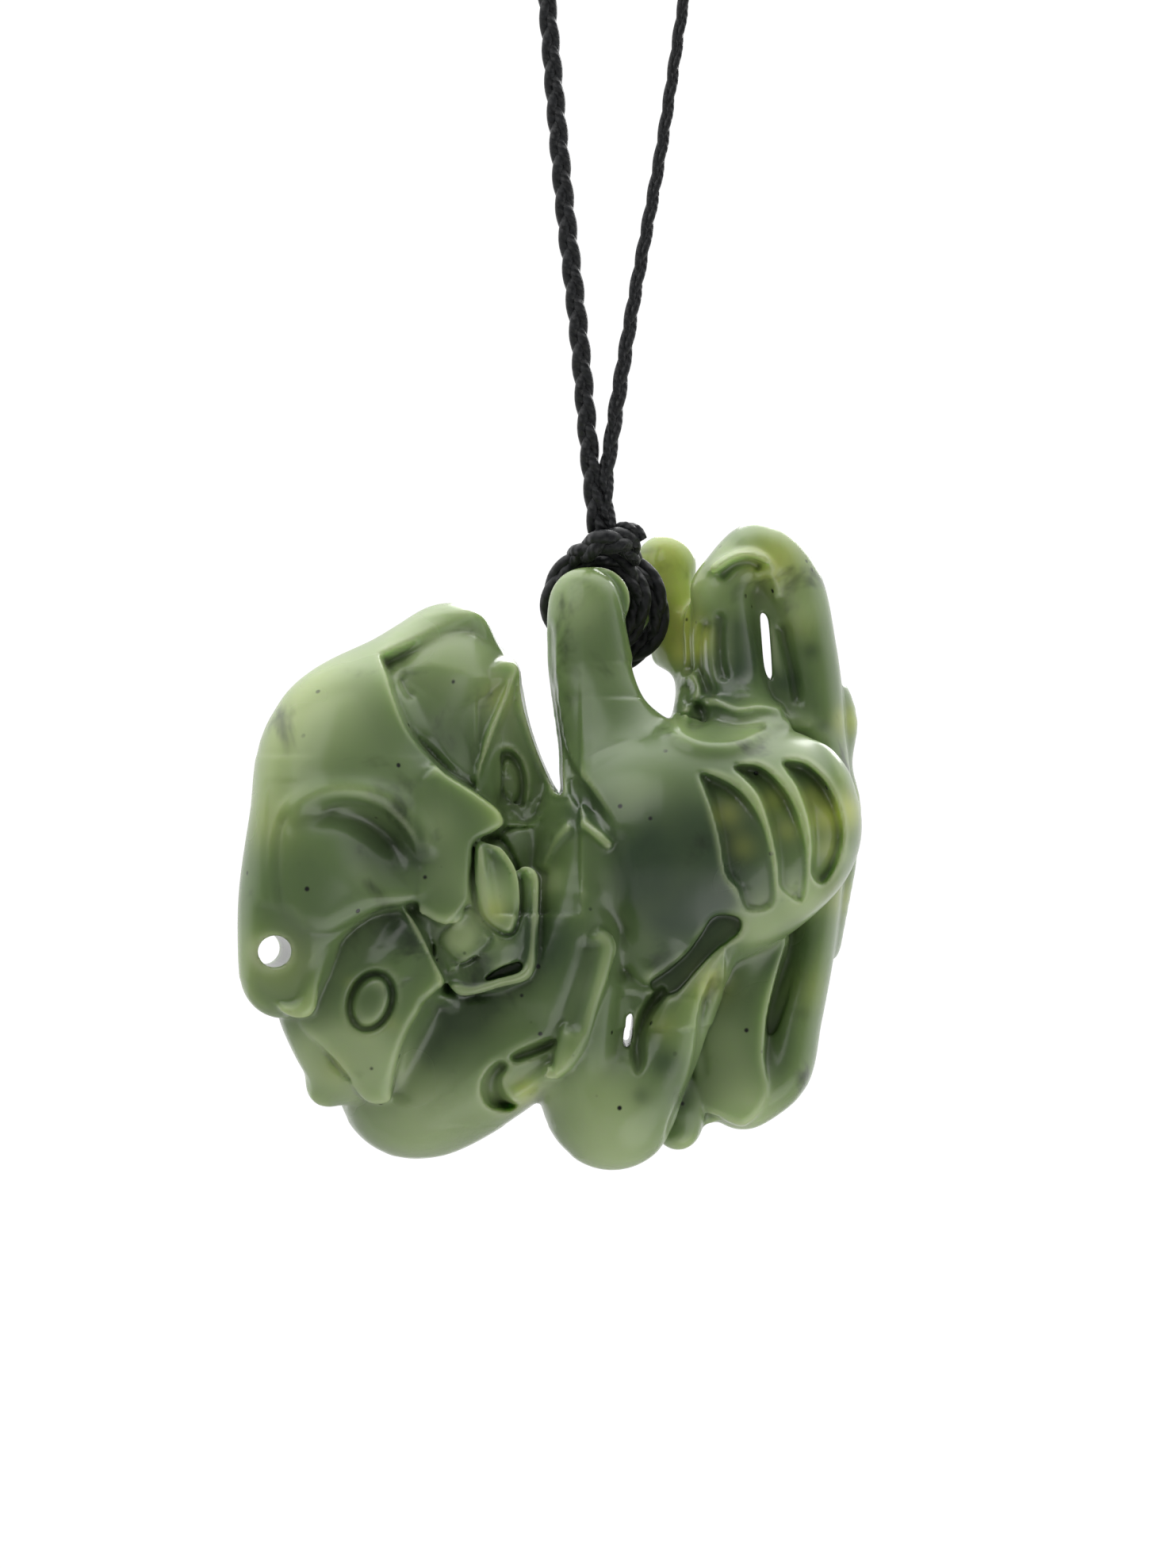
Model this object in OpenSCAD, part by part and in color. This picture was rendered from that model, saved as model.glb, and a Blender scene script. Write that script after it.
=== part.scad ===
// Pierced jade pendant: a curled animal carved from one stone, hung on a plaited cord tied round its raised limb.
// Millimetres, +Z up, front towards -Y. The origin is the axis of the peg that the cord hangs over.

/* [Stone] */
// Depth of the stone from front to back
stone_d = 30; // [28:0.5:32]
// Radius of the round stretch of limb that the cord is tied round
tie_r = 2.6; // [2.4:0.1:2.6]
// Radius of the cord hole drilled through the near corner of the snout
snout_hole_r = 1.2; // [0.9:0.1:1.3]
// Radius of the ring cut round each eye
eye_ring_r = 1.1; // [0.9:0.1:1.2]
// Width of the cut round each eye
eye_cut_w = 0.6; // [0.4:0.1:0.8]
// Depth of the carved hollows between the ribs
rib_cut = 1.6; // [0.8:0.2:2]

/* [Cord] */
// Thickness of the left run and of the turns round the limb
cord_d = 1.5; // [1.4:0.1:1.6]
// Thickness of the right run beside the knot
thin_cord_d = 1.2; // [1:0.1:1.4]
// Thickness of the bight over the peg
bight_d = 1.2; // [1:0.1:1.4]
// Slack between the limb and the turns tied round it
tie_slack = 0.05; // [0.02:0.01:0.1]

/* [Mesh] */
// Sides of each carved limb
limb_sides = 12; // [10:2:14]
// Rings between two route points of a limb
limb_steps = 2; // [2:1:3]

/* [Hidden] */

jade = [0.42, 0.52, 0.36];
black = [0.05, 0.05, 0.05];
cord_sides = 8;
cord_steps = 3;
round_fn = 48;

// The stone's own frame has its middle at the origin. The peg's axis lies here in that frame.
peg_at = [2.3, 2, 65.2];

// The tie: a round stretch of limb along Y, with two turns of cord round it.
tie_x = 0.7;
tie_z = 14.5;
tie_y0 = 0;
tie_y1 = 10;
turn_front_y = 4;
turn_back_y = turn_front_y + cord_d + 0.15;
turn_r = tie_r + tie_slack + cord_d / 2;
back_turn_shift = [0.7, -0.5];
back_turn_r = turn_r + norm(back_turn_shift);
turn_cut_r = back_turn_r + cord_d / 2 + norm(back_turn_shift) + 0.3;

// The bight over the peg.
bight_r = 5.8;
bight_dip = 7;

// Routes of the carved limbs in the stone's frame: x, y, z, half width seen from the front, half depth.
snout = [
    [-23, -12.5, -14.5, 3.2, 3.2],
    [-22.5, -13, -9, 4.2, 4.2],
    [-21, -12, -2.75, 5, 5.4],
    [-19, -9.5, 3, 5.5, 6],
    [-14, -6, 6.25, 5.4, 6],
    [-11, -3, 9.5, 4, 5]
];
skull = [
    [-17.5, -7, -9.25, 5, 4.2],
    [-15, -6.5, -4.5, 6.4, 5.5],
    [-11, -3.5, 1.5, 5.8, 5],
    [-9.5, -1.5, 6.5, 4, 4.4]
];
lower_face = [
    [-17.25, -6.25, -12.25, 3.8, 4],
    [-11.5, -5.5, -10, 5, 4],
    [-7, -3, -5, 4, 4]
];
brow = [
    [-16.5, -9, 0.25, 4.2, 5.6],
    [-12, -8.5, -3.5, 3.6, 5],
    [-10.5, -8.5, -7.75, 2.8, 4.4]
];
far_face = [
    [-11, -0.5, 10.5, 2.6, 3.8],
    [-8.5, 0.5, 6.75, 3.2, 4],
    [-6.5, 1.5, 1.5, 3.2, 4],
    [-4.5, 2, -3.75, 2.4, 3.6]
];
jaw_flap = [
    [-21.75, -9.5, -17, 2.2, 3],
    [-20.25, -8, -20.5, 2.2, 3],
    [-18.75, -6.5, -23, 1.8, 2.6]
];
near_cheek = [
    [-13.25, -8.5, -10.75, 2.6, 4],
    [-15.5, -9, -15, 4, 4.4],
    [-17.25, -8, -19.25, 3.6, 4.4],
    [-19.5, -6, -22.5, 2, 3.6]
];
jaw = [
    [-9.25, -8, -8, 2.4, 4],
    [-7.25, -8, -10.75, 3.2, 4.4],
    [-7, -7.5, -13.25, 2.6, 4]
];
neck = [
    [-13.75, -3, -13, 3, 6],
    [-15, -2.5, -20.5, 4.4, 7],
    [-13, -1.5, -24, 5.4, 7],
    [-7.5, -2, -21.25, 5.8, 7],
    [-3.5, -3, -16.25, 5.2, 7],
    [-1, -3.5, -10, 3.8, 6.4],
    [-0.5, -3, -5.25, 3, 5.6]
];
torso = [
    [1.5, -1, -4.75, 7.2, 8],
    [5.5, -1, -4.75, 9.8, 9.6],
    [10, -0.5, -4.5, 9.2, 9.4],
    [14, 0.5, -3.25, 7.6, 7.6]
];
chest = [
    [0.75, -1, -5.75, 3.8, 6],
    [1.25, 0, 0, 3.8, 5],
    [1.5, 0, 3.75, 4.2, 3.6]
];
arm = [
    [1.5, 0, 1.75, 4.4, 4],
    [0.5, 0, 6.75, 3.6, 3.2],
    [0, 0, 10.5, 3.2, 2.8],
    [-0.25, 0, 14.25, 2.8, 2.6]
];
thigh = [
    [0.25, -3, -11.75, 3.8, 6],
    [-0.75, -4, -18.5, 3.4, 5.6],
    [-0.5, -4, -23, 3.4, 5],
    [1.75, -3.5, -25, 4.8, 5]
];
shin = [
    [2, -3.5, -25, 4.6, 5],
    [5.25, -3, -21.75, 3, 4.4],
    [7, -2.5, -17.5, 2.8, 4.4],
    [8.5, -2, -12.5, 3.2, 5]
];
calf = [
    [2.75, -2, -15.5, 2.8, 4],
    [3.75, -2, -21.5, 2.8, 4]
];
toe = [
    [6.25, 1, -25.5, 2.2, 3],
    [7.5, 2, -26.5, 1.8, 3]
];
rear_leg = [
    [12.75, 3, -12, 3.2, 4],
    [11.5, 3.5, -17.25, 2.8, 4],
    [11.5, 3.5, -22.25, 2.8, 4],
    [12, 3.5, -24.25, 2.8, 4]
];
rear_web = [
    [14.75, 6, -12.5, 2.2, 1.8],
    [14.25, 6, -20, 2.2, 1.8]
];
tail_band = [
    [10.25, 4, 15.5, 2, 3],
    [13.25, 4.5, 18, 2.4, 3.6],
    [16.25, 5.5, 16.25, 2.6, 3.6],
    [17.5, 6.5, 10.75, 2.4, 3.6],
    [18.5, 7, 3.75, 2.2, 3.6],
    [18.75, 7, -4.5, 2, 3.6],
    [18.25, 6.5, -12.25, 2, 3.6],
    [17, 5.5, -18.5, 2.2, 3.6],
    [15.25, 4.5, -23, 2.4, 3.6],
    [12.5, 3.5, -25, 2.4, 3.6]
];
haunch = [
    [10.75, 4, 15.5, 2.2, 3.2],
    [11, 4.5, 11.25, 2.6, 3.6],
    [11.5, 4, 6.75, 2.8, 4],
    [12.25, 2, 3, 3.8, 5]
];
hock = [
    [14.5, 8, 17, 1.6, 2.4],
    [16, 8.5, 12.75, 1.4, 2.4],
    [16.25, 8.5, 8.25, 1.4, 2.4],
    [16.5, 6, 3.75, 1.8, 3]
];
paw = [
    [6.25, 10.5, 17, 2.2, 2.4],
    [6.5, 10.5, 14.5, 1.8, 2.4],
    [7.5, 10, 10.25, 1.8, 2.6],
    [8, 7.5, 6.5, 1.6, 3],
    [8.75, 4, 3.75, 2.6, 4]
];
wrist = [
    [0.7, 9.6, 14.5, 2.4, 1.9],
    [3.5, 10, 14.75, 2.4, 2.2],
    [6.25, 10.5, 15, 2.4, 2.4]
];
back_ridge = [
    [20, 9, 6.25, 0.8, 2],
    [20.5, 9.5, -0.75, 0.8, 2],
    [20.25, 9.5, -6.5, 0.8, 2],
    [19.5, 8.5, -13.5, 0.8, 2]
];
LIMBS = [snout, skull, lower_face, brow, far_face, near_cheek, jaw_flap, jaw, neck, torso, chest, arm, thigh, shin,
    calf, toe, rear_leg, rear_web, tail_band, haunch, hock, paw, wrist, back_ridge];

// Routes of the hollows carved into the stone, in the same form.
near_scoop = [
    [-21, -18, -2.75, 0.8, 1.6],
    [-18.5, -17.5, -2, 1.4, 2.6],
    [-16, -16, -3.75, 1.6, 2.8],
    [-14.5, -14.5, -6.5, 1.2, 2]
];
far_scoop = [
    [-13.5, -11, 7.25, 0.8, 3],
    [-11, -7.5, 4.25, 2, 3],
    [-8.75, -5, 0.75, 1, 2]
];
finger_groove = [
    [-0.25, -9.5, -12.75, 0.6, 2],
    [-1, -10, -17, 0.6, 2],
    [-2, -10, -21, 0.6, 2]
];
elbow_pit = [
    [-7.5, -9, -24, 0.8, 3.4],
    [-5, -9.5, -22.25, 1, 3.4],
    [-2.75, -10, -20.75, 0.8, 3]
];
thigh_slot = [
    [11.25, -9, -10.75, 0.7, 3],
    [8.5, -9, -13.5, 0.9, 4],
    [5.5, -8.5, -15.75, 0.7, 3.4]
];
leg_gap = [
    [3.25, -3, -18.25, 0.3, 9],
    [3, -3, -20, 0.3, 9]
];
tail_slit = [
    [14.25, 6, 13, 0.3, 9],
    [14.5, 6, 10.5, 0.4, 9],
    [14.25, 6, 8.75, 0.3, 9]
];
rear_hollow = [
    [15.25, 3, -14, 0.4, 8],
    [14.5, 3, -17, 0.7, 8],
    [14.75, 3, -19.75, 0.4, 8]
];
rib_1 = [
    [9.25, -9, 0.5, 0.6, rib_cut],
    [12.25, -9.25, -1.25, 0.9, rib_cut],
    [13.5, -8.5, -5.75, 0.5, rib_cut]
];
rib_2 = [
    [12, -8.5, 1.5, 0.6, rib_cut],
    [15.5, -7.5, -1.25, 0.9, rib_cut],
    [16.75, -6.75, -6, 0.5, rib_cut]
];
rib_3 = [
    [16, -6.25, 1.75, 0.5, rib_cut],
    [18.5, -5.5, -1, 0.8, rib_cut],
    [19, -4.5, -5.5, 0.5, rib_cut]
];
HOLLOWS = [near_scoop, far_scoop, finger_groove, elbow_pit, thigh_slot, leg_gap, tail_slit, rear_hollow, rib_1,
    rib_2, rib_3];

// Each eye: centre, then the angles that turn its axis away from the front.
near_eye = [-16.9, -13.2, -17.2];
near_eye_turn = [0, 0, -12];
far_eye = [-6.2, -2.6, 0.25];
far_eye_turn = [0, 0, 35];
eye_depth = 0.7;
eye_reach = 4;

// The snout hole runs from front to back with a slight lean.
snout_hole_at = [-24, -13, -12.5];
snout_hole_lean = 12;
snout_hole_reach = 14;

// Routes of the cord runs in the stone's frame: x, y, z, radius, radius.
left_run = [
    [0.75, 2.25, 20, cord_d / 2, cord_d / 2],
    [0.5, 2.25, 22.5, cord_d / 2, cord_d / 2],
    [0, 2.25, 27.5, cord_d / 2, cord_d / 2],
    [-0.75, 2, 36, cord_d / 2, cord_d / 2],
    [-2, 2, 47.5, cord_d / 2, cord_d / 2],
    [-3.45, 2, 64.5, cord_d / 2, cord_d / 2]
];
right_run = [
    [1.75, 2.25, 20, thin_cord_d / 2, thin_cord_d / 2],
    [1.6, 2.25, 22.5, thin_cord_d / 2, thin_cord_d / 2],
    [2, 2.25, 27.5, thin_cord_d / 2, thin_cord_d / 2],
    [3.75, 2, 39, thin_cord_d / 2, thin_cord_d / 2],
    [5.75, 2, 50, thin_cord_d / 2, thin_cord_d / 2],
    [8.05, 2, 64.5, thin_cord_d / 2, thin_cord_d / 2]
];
knot_at = [1.7, 2.6, 19.25];
knot_half = [2.2, 1.7, 1.25];
tail_at = [3.6, 2.4, 19.4];
tail_r = 0.8;

// Catmull-Rom value between rows p[i] and p[i + 1].
function row(p, i) = p[max(0, min(len(p) - 1, i))];
function between(a, b, c, d, t) =
    0.5 * (2 * b + (c - a) * t + (2 * a - 5 * b + 4 * c - d) * t * t + (3 * b - a - 3 * c + d) * t * t * t);
function smoothed(p, n) = [
    for (i = [0 : len(p) - 2], k = [0 : n - 1]) between(row(p, i - 1), p[i], p[i + 1], row(p, i + 2), k / n),
    p[len(p) - 1]
];
function spot(r) = [r[0], r[1], r[2]];
function unit(v) = v / norm(v);
function heading(p, i) = unit(spot(row(p, i + 1)) - spot(row(p, i - 1)));
function deep_way(t) = unit([0, 1, 0] - t[1] * t);

// One ring of points: centre, heading, half width and half depth.
function ring(c, t, w, d, n) =
    let (deep = deep_way(t), wide = cross(deep, t))
    [for (k = [0 : n - 1]) c + w * cos(360 * k / n) * wide + d * sin(360 * k / n) * deep];

// Rings that round off an end: side is -1 at the start and 1 at the finish.
CAP_ANGLES = [35, 65];
function cap_ring(r, t, side, a, n) =
    ring(spot(r) + side * r[3] * sin(a) * t, t, r[3] * cos(a), r[4] * cos(a), n);

// A closed tube along the route p, with rounded ends, or flat ones where domed is false.
module swept(p, steps, sides, domed = true) {
    s = smoothed(p, steps);
    last = len(s) - 1;
    caps = domed ? CAP_ANGLES : [];
    count = len(caps);
    rings = concat(
        [for (k = [1 : 1 : count]) cap_ring(s[0], heading(s, 0), -1, caps[count - k], sides)],
        [for (i = [0 : last]) ring(spot(s[i]), heading(s, i), s[i][3], s[i][4], sides)],
        [for (k = [0 : 1 : count - 1]) cap_ring(s[last], heading(s, last), 1, caps[k], sides)]
    );
    points = [for (r = rings) each r];
    walls = [
        for (i = [0 : len(rings) - 2], k = [0 : sides - 1])
            let (a = i * sides + k, b = i * sides + (k + 1) % sides)
            each [[a, a + sides, b], [b, a + sides, b + sides]]
    ];
    first_face = [for (k = [0 : sides - 1]) k];
    last_face = [for (k = [sides - 1 : -1 : 0]) (len(rings) - 1) * sides + k];
    polyhedron(points, concat([first_face], walls, [last_face]), convexity = 4);
}

// The ring-shaped cut round an eye, leaving a button in its middle.
module eye_cut(at, turn) {
    translate(at) rotate(turn) rotate([90, 0, 0]) translate([0, 0, -eye_depth]) difference() {
        cylinder(h = eye_reach, r = eye_ring_r + eye_cut_w / 2, $fn = round_fn);
        translate([0, 0, -1]) cylinder(h = eye_reach + 2, r = eye_ring_r - eye_cut_w / 2, $fn = round_fn);
    }
}

// All carved masses and hollows of the stone, brought to its stated depth.
module carved_mass() {
    resize([0, stone_d, 0]) difference() {
        union() {
            difference() {
                for (l = LIMBS) {
                    swept(l, limb_steps, limb_sides);
                }
                turn_space();
            }
            tied_stretch();
        }
        for (h = HOLLOWS) {
            swept(h, limb_steps, limb_sides);
        }
        eye_cut(near_eye, near_eye_turn);
        eye_cut(far_eye, far_eye_turn);
    }
}

// A ring of free space for the turns of cord.
module turn_space() {
    translate([tie_x, turn_front_y - cord_d / 2 - 0.3, tie_z]) rotate([-90, 0, 0])
        cylinder(h = turn_back_y - turn_front_y + cord_d + 0.6, r = turn_cut_r, $fn = round_fn);
}

// The round stretch of limb that the cord is tied round.
module tied_stretch() {
    translate([tie_x, tie_y0, tie_z]) rotate([-90, 0, 0]) cylinder(h = tie_y1 - tie_y0, r = tie_r, $fn = round_fn);
}

module snout_bore() {
    translate(snout_hole_at) rotate([90, 0, snout_hole_lean])
        cylinder(h = snout_hole_reach, r = snout_hole_r, center = true);
}

module jade_carving() {
    color(jade) translate(-peg_at) difference() {
        carved_mass();
        snout_bore();
    }
}

module cord_left() {
    color(black) translate(-peg_at) swept(left_run, cord_steps, cord_sides, false);
}

module cord_right() {
    color(black) translate(-peg_at) swept(right_run, cord_steps, cord_sides, false);
}

module cord_bight() {
    color(black) rotate([90, 0, 0]) rotate([0, 0, -bight_dip])
        rotate_extrude(angle = 180 + 2 * bight_dip) translate([bight_r, 0]) circle(r = bight_d / 2);
}

module tie_knot() {
    color(black) translate(knot_at - peg_at) rotate([0, 90, 0])
        rotate_extrude() intersection() {
            scale([1, knot_half[0] / knot_half[2]]) circle(r = knot_half[2], $fn = round_fn);
            translate([0, -knot_half[0]]) square([knot_half[2], 2 * knot_half[0]]);
        }
}

module tie_tail() {
    color(black) translate(tail_at - peg_at) sphere(r = tail_r);
}

// One turn of cord round the limb: ring radius, distance back, and sideways and upward shift.
module tie_turn(r, y, shift) {
    color(black) translate([tie_x + shift[0], y, tie_z + shift[1]] - peg_at) rotate([90, 0, 0])
        rotate_extrude() translate([r, 0]) circle(r = cord_d / 2);
}

module tie_turn_front() {
    tie_turn(turn_r, turn_front_y, [0, 0]);
}

module tie_turn_back() {
    tie_turn(back_turn_r, turn_back_y, back_turn_shift);
}

jade_carving();
cord_left();
cord_right();
cord_bight();
tie_knot();
tie_tail();
tie_turn_front();
tie_turn_back();
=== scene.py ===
import math

import bpy
import numpy as np
import openvdb
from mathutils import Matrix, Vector


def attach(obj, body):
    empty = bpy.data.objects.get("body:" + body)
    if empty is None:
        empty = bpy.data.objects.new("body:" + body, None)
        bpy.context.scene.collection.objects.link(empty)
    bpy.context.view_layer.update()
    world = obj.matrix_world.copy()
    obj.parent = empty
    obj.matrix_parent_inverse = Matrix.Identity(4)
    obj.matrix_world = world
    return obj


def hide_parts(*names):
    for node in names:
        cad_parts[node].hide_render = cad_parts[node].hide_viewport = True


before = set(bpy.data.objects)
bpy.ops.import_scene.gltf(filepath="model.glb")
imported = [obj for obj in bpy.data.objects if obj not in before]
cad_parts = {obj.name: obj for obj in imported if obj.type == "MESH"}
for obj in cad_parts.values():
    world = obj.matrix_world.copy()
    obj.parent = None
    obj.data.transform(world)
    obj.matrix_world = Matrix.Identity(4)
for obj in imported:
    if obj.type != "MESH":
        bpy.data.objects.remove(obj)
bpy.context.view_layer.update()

MM = 0.001
# The stone's own frame has its middle at the origin. The peg that the cord hangs over, which is the part's
# origin, lies here in that frame, in millimetres.
PEG = np.array([2.3, 2.0, 65.2])
VIEW_MM = 300.0  # from the camera to the stone's middle plane
FRAME_LONG_MM = 123.6  # height of the picture in that plane
SENSOR_MM = 36.0


def row(points):
    """Points of the stone's frame in mm, as metres in the part's frame."""
    return (np.asarray(points, float) - PEG) * MM


# ---------------------------------------------------------------- camera
cam_data = bpy.data.cameras.new("camera")
cam_data.sensor_width = SENSOR_MM
cam_data.lens = SENSOR_MM * VIEW_MM / FRAME_LONG_MM
cam_data.clip_start = 0.005
cam_data.clip_end = 20.0
camera = bpy.data.objects.new("camera", cam_data)
bpy.context.collection.objects.link(camera)
camera.location = Vector(row([0.0, -VIEW_MM, 0.0]))
camera.rotation_euler = (math.pi / 2, 0.0, 0.0)
bpy.context.scene.camera = camera


# ---------------------------------------------------------------- curves
def arc(a, b, c, d, step):
    """Points about step apart from b to just before c, on a curve that comes from a and goes on to d."""
    n = max(2, int(np.ceil(np.linalg.norm((c - b)[:3]) / step)))
    t = np.linspace(0, 1, n, endpoint=False)[:, None]
    return 0.5 * (
        2 * b + (c - a) * t + (2 * a - 5 * b + 4 * c - d) * t**2 + (3 * b - a - 3 * c + d) * t**3
    )


def spline(points, step):
    """A smooth line through the points. Columns after x, y and z are carried along."""
    p = np.asarray(points, float)
    p = np.vstack([p[:1], p, p[-1:]])
    return np.vstack([arc(*p[i : i + 4], step) for i in range(len(p) - 3)] + [p[-1:]])


def closed_spline(points, step):
    p = np.asarray(points, float)
    p = np.vstack([p[-1:], p, p[:2]])
    return np.vstack([arc(*p[i : i + 4], step) for i in range(len(p) - 3)])


def eased(t):
    """t kept between 0 and 1, with a soft start and a soft end."""
    t = np.clip(t, 0, 1)
    return t * t * (3 - 2 * t)


def even(points, step):
    """The same line with points evenly step apart along it."""
    p = np.asarray(points, float)
    s = np.concatenate([[0], np.cumsum(np.linalg.norm(np.diff(p[:, :3], axis=0), axis=1))])
    at = np.linspace(0, s[-1], max(3, int(round(s[-1] / step)) + 1))
    return np.stack([np.interp(at, s, p[:, k]) for k in range(p.shape[1])], 1)


def mesh_object(name, verts, faces, material):
    mesh = bpy.data.meshes.new(name)
    mesh.from_pydata([tuple(v) for v in verts], [], [tuple(f) for f in faces])
    mesh.validate()
    mesh.polygons.foreach_set("use_smooth", [True] * len(mesh.polygons))
    mesh.materials.append(material)
    ob = bpy.data.objects.new(name, mesh)
    bpy.context.collection.objects.link(ob)
    return ob


# ---------------------------------------------------------------- materials
class Look:
    """A node tree with the kinds of node that the looks are made of."""

    def __init__(self, tree, coords="Object"):
        self.nodes = tree.nodes
        self.links = tree.links
        self.coords = self.node("TexCoord", {}, coords)

    def feed(self, socket, value):
        if hasattr(value, "is_linked"):
            self.links.new(value, socket)
        elif socket.type == "RGBA":
            socket.default_value = (*value, 1.0)
        else:
            socket.default_value = value

    def node(self, kind, inputs, output=0, **settings):
        made = self.nodes.new("ShaderNode" + kind)
        for name, value in settings.items():
            setattr(made, name, value)
        for name, value in inputs.items():
            self.feed(made.inputs[name], value)
        return made.outputs[output]

    def attribute(self, name):
        return self.node("Attribute", {}, "Fac", attribute_name=name)

    def noise(self, scale, detail, rough=0.5, distortion=0.0):
        inputs = {"Vector": self.coords, "Scale": scale, "Detail": detail}
        return self.node("TexNoise", {**inputs, "Roughness": rough, "Distortion": distortion}, "Fac")

    def span(self, source, low, high, to_low=0.0, to_high=1.0, kind="SMOOTHSTEP"):
        inputs = {"Value": source, "From Min": low, "From Max": high, "To Min": to_low, "To Max": to_high}
        return self.node("MapRange", inputs, "Result", interpolation_type=kind)

    def mixed(self, kind, factor, a, b):
        return self.node("Mix", {0: factor, 6: a, 7: b}, 2, data_type="RGBA", blend_type=kind)

    def ramp(self, source, stops, kind="LINEAR"):
        made = self.nodes.new("ShaderNodeValToRGB")
        made.color_ramp.interpolation = kind
        e = made.color_ramp.elements
        while len(e) < len(stops):
            e.new(0.5)
        for k, (at, colour) in enumerate(stops):
            e[k].position = at
            e[k].color = (*colour, 1.0)
        self.links.new(source, made.inputs["Fac"])
        return made.outputs["Color"]


def new_material(name):
    material = bpy.data.materials.new(name)
    material.use_nodes = True
    return material, Look(material.node_tree)


def finish_material(look, inputs):
    for name, value in inputs.items():
        look.feed(look.nodes["Principled BSDF"].inputs[name], value)


def jade_material():
    """Translucent nephrite, with its light and shade partly painted. The mesh says where it's thin, hollow or
    near an edge, and where painted highlights, shade and glow lie over paler and darker stone.
    """
    material, look = new_material("jade")
    # Painted light: thin stone is coloured bright yellow green, as if lit through from behind, and thick stone
    # deep green, where little light comes through.
    dim_thick_to_backlit_thin = [
        (0.0, (0.129, 0.202, 0.082)),
        (0.3, (0.196, 0.291, 0.103)),
        (0.6, (0.336, 0.448, 0.136)),
        (0.85, (0.448, 0.538, 0.140)),
        (1.0, (0.538, 0.605, 0.147)),
    ]
    body = look.ramp(look.attribute("thin"), dim_thick_to_backlit_thin, "B_SPLINE")
    # Painted highlights with paler stone, painted shade with darker stone, and painted glow of light through
    # thin stone; then broad drifts of grey green and of apple green, then near-black stains.
    for source, low, high, most, colour in (
        (look.attribute("pale_and_highlight"), 0.0, 1.0, 0.9, (0.500, 0.620, 0.310)),
        (look.attribute("dark_and_shade"), 0.0, 1.0, 0.95, (0.032, 0.066, 0.032)),
        (look.attribute("glow"), 0.0, 1.0, 0.95, (0.690, 0.740, 0.150)),
        (look.noise(32.0, 2.0, 0.5, 0.3), 0.3, 0.8, 0.4, (0.190, 0.252, 0.136)),
        (look.noise(95.0, 2.0, 0.5, 0.3), 0.3, 0.85, 0.3, (0.336, 0.459, 0.164)),
        (look.noise(150.0, 4.0, 0.55, 0.4), 0.58, 0.74, 0.8, (0.030, 0.045, 0.022)),
    ):
        body = look.mixed("MIX", look.span(source, low, high, 0.0, most), body, colour)
    # Fine black specks, in some places only.
    dots = look.node("TexVoronoi", {"Vector": look.coords, "Scale": 420.0}, "Distance")
    dots = look.span(dots, 0.04, 0.11, 1.0, 0.0)
    places = look.span(look.noise(210.0, 1.0), 0.47, 0.56)
    speck = look.node("Math", {0: dots, 1: places}, operation="MULTIPLY")
    body = look.mixed("MIX", speck, body, (0.010, 0.012, 0.008))
    # Painted shade: hollows are darkened, as if less light reaches into them.
    shade = look.span(look.attribute("hollow"), 0.05, 0.6, 0.0, 0.4)
    body = look.mixed("MULTIPLY", shade, body, (0.42, 0.47, 0.42))
    # Painted highlight: edges and ridges are lightened, as if light catches them.
    rim = look.span(look.attribute("edge"), 0.0, 1.0, 0.0, 0.55)
    body = look.mixed("MIX", rim, body, (0.480, 0.560, 0.330))
    grain = {"Strength": 0.05, "Distance": 0.0002, "Height": look.noise(900.0, 3.0)}
    finish_material(
        look,
        {
            "Base Color": body,
            "Subsurface Weight": 0.6,
            "Subsurface Radius": (0.7, 1.0, 0.45),
            "Subsurface Scale": 0.003,
            "IOR": 1.61,
            "Roughness": look.span(look.noise(60.0, 3.0), 0.0, 1.0, 0.16, 0.32),
            "Normal": look.node("Bump", grain, "Normal"),
        },
    )
    return material


def cord_material():
    """Black waxed fibre. The mesh carries lay, the angle of the fibres' turns."""
    material, look = new_material("cord")
    fuzz = look.noise(2600.0, 4.0)
    wave = look.node("Math", {0: look.attribute("lay")}, operation="SINE")
    relief = look.node("Math", {0: wave, 1: fuzz}, operation="ADD")
    fibres = {"Strength": 0.6, "Distance": 0.00006, "Height": relief}
    finish_material(
        look,
        {
            "Base Color": look.ramp(fuzz, [(0.3, (0.004, 0.0045, 0.0055)), (0.7, (0.016, 0.018, 0.021))]),
            "Roughness": look.span(fuzz, 0.3, 0.7, 0.38, 0.62),
            "Sheen Weight": 0.06,
            "Sheen Roughness": 0.4,
            "Normal": look.node("Bump", fibres, "Normal"),
        },
    )
    return material


JADE = jade_material()
CORD = cord_material()


# ---------------------------------------------------------------- cord
STRANDS = 3
STRAND_SIDES = 10
PLAIT_PERIOD = 7.5  # mm for a strand to come back to the same edge
RING_STEP = 0.32  # mm between rings of a strand
FIBRE_TURNS = 11.0  # turns of the fibres of a strand per plait period
# Shares of the cord's thickness: how far a strand sways, how far it dips, and its own half thickness.
SWAY, DIP, STRAND_R = 0.24, 0.14, 0.285


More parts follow.
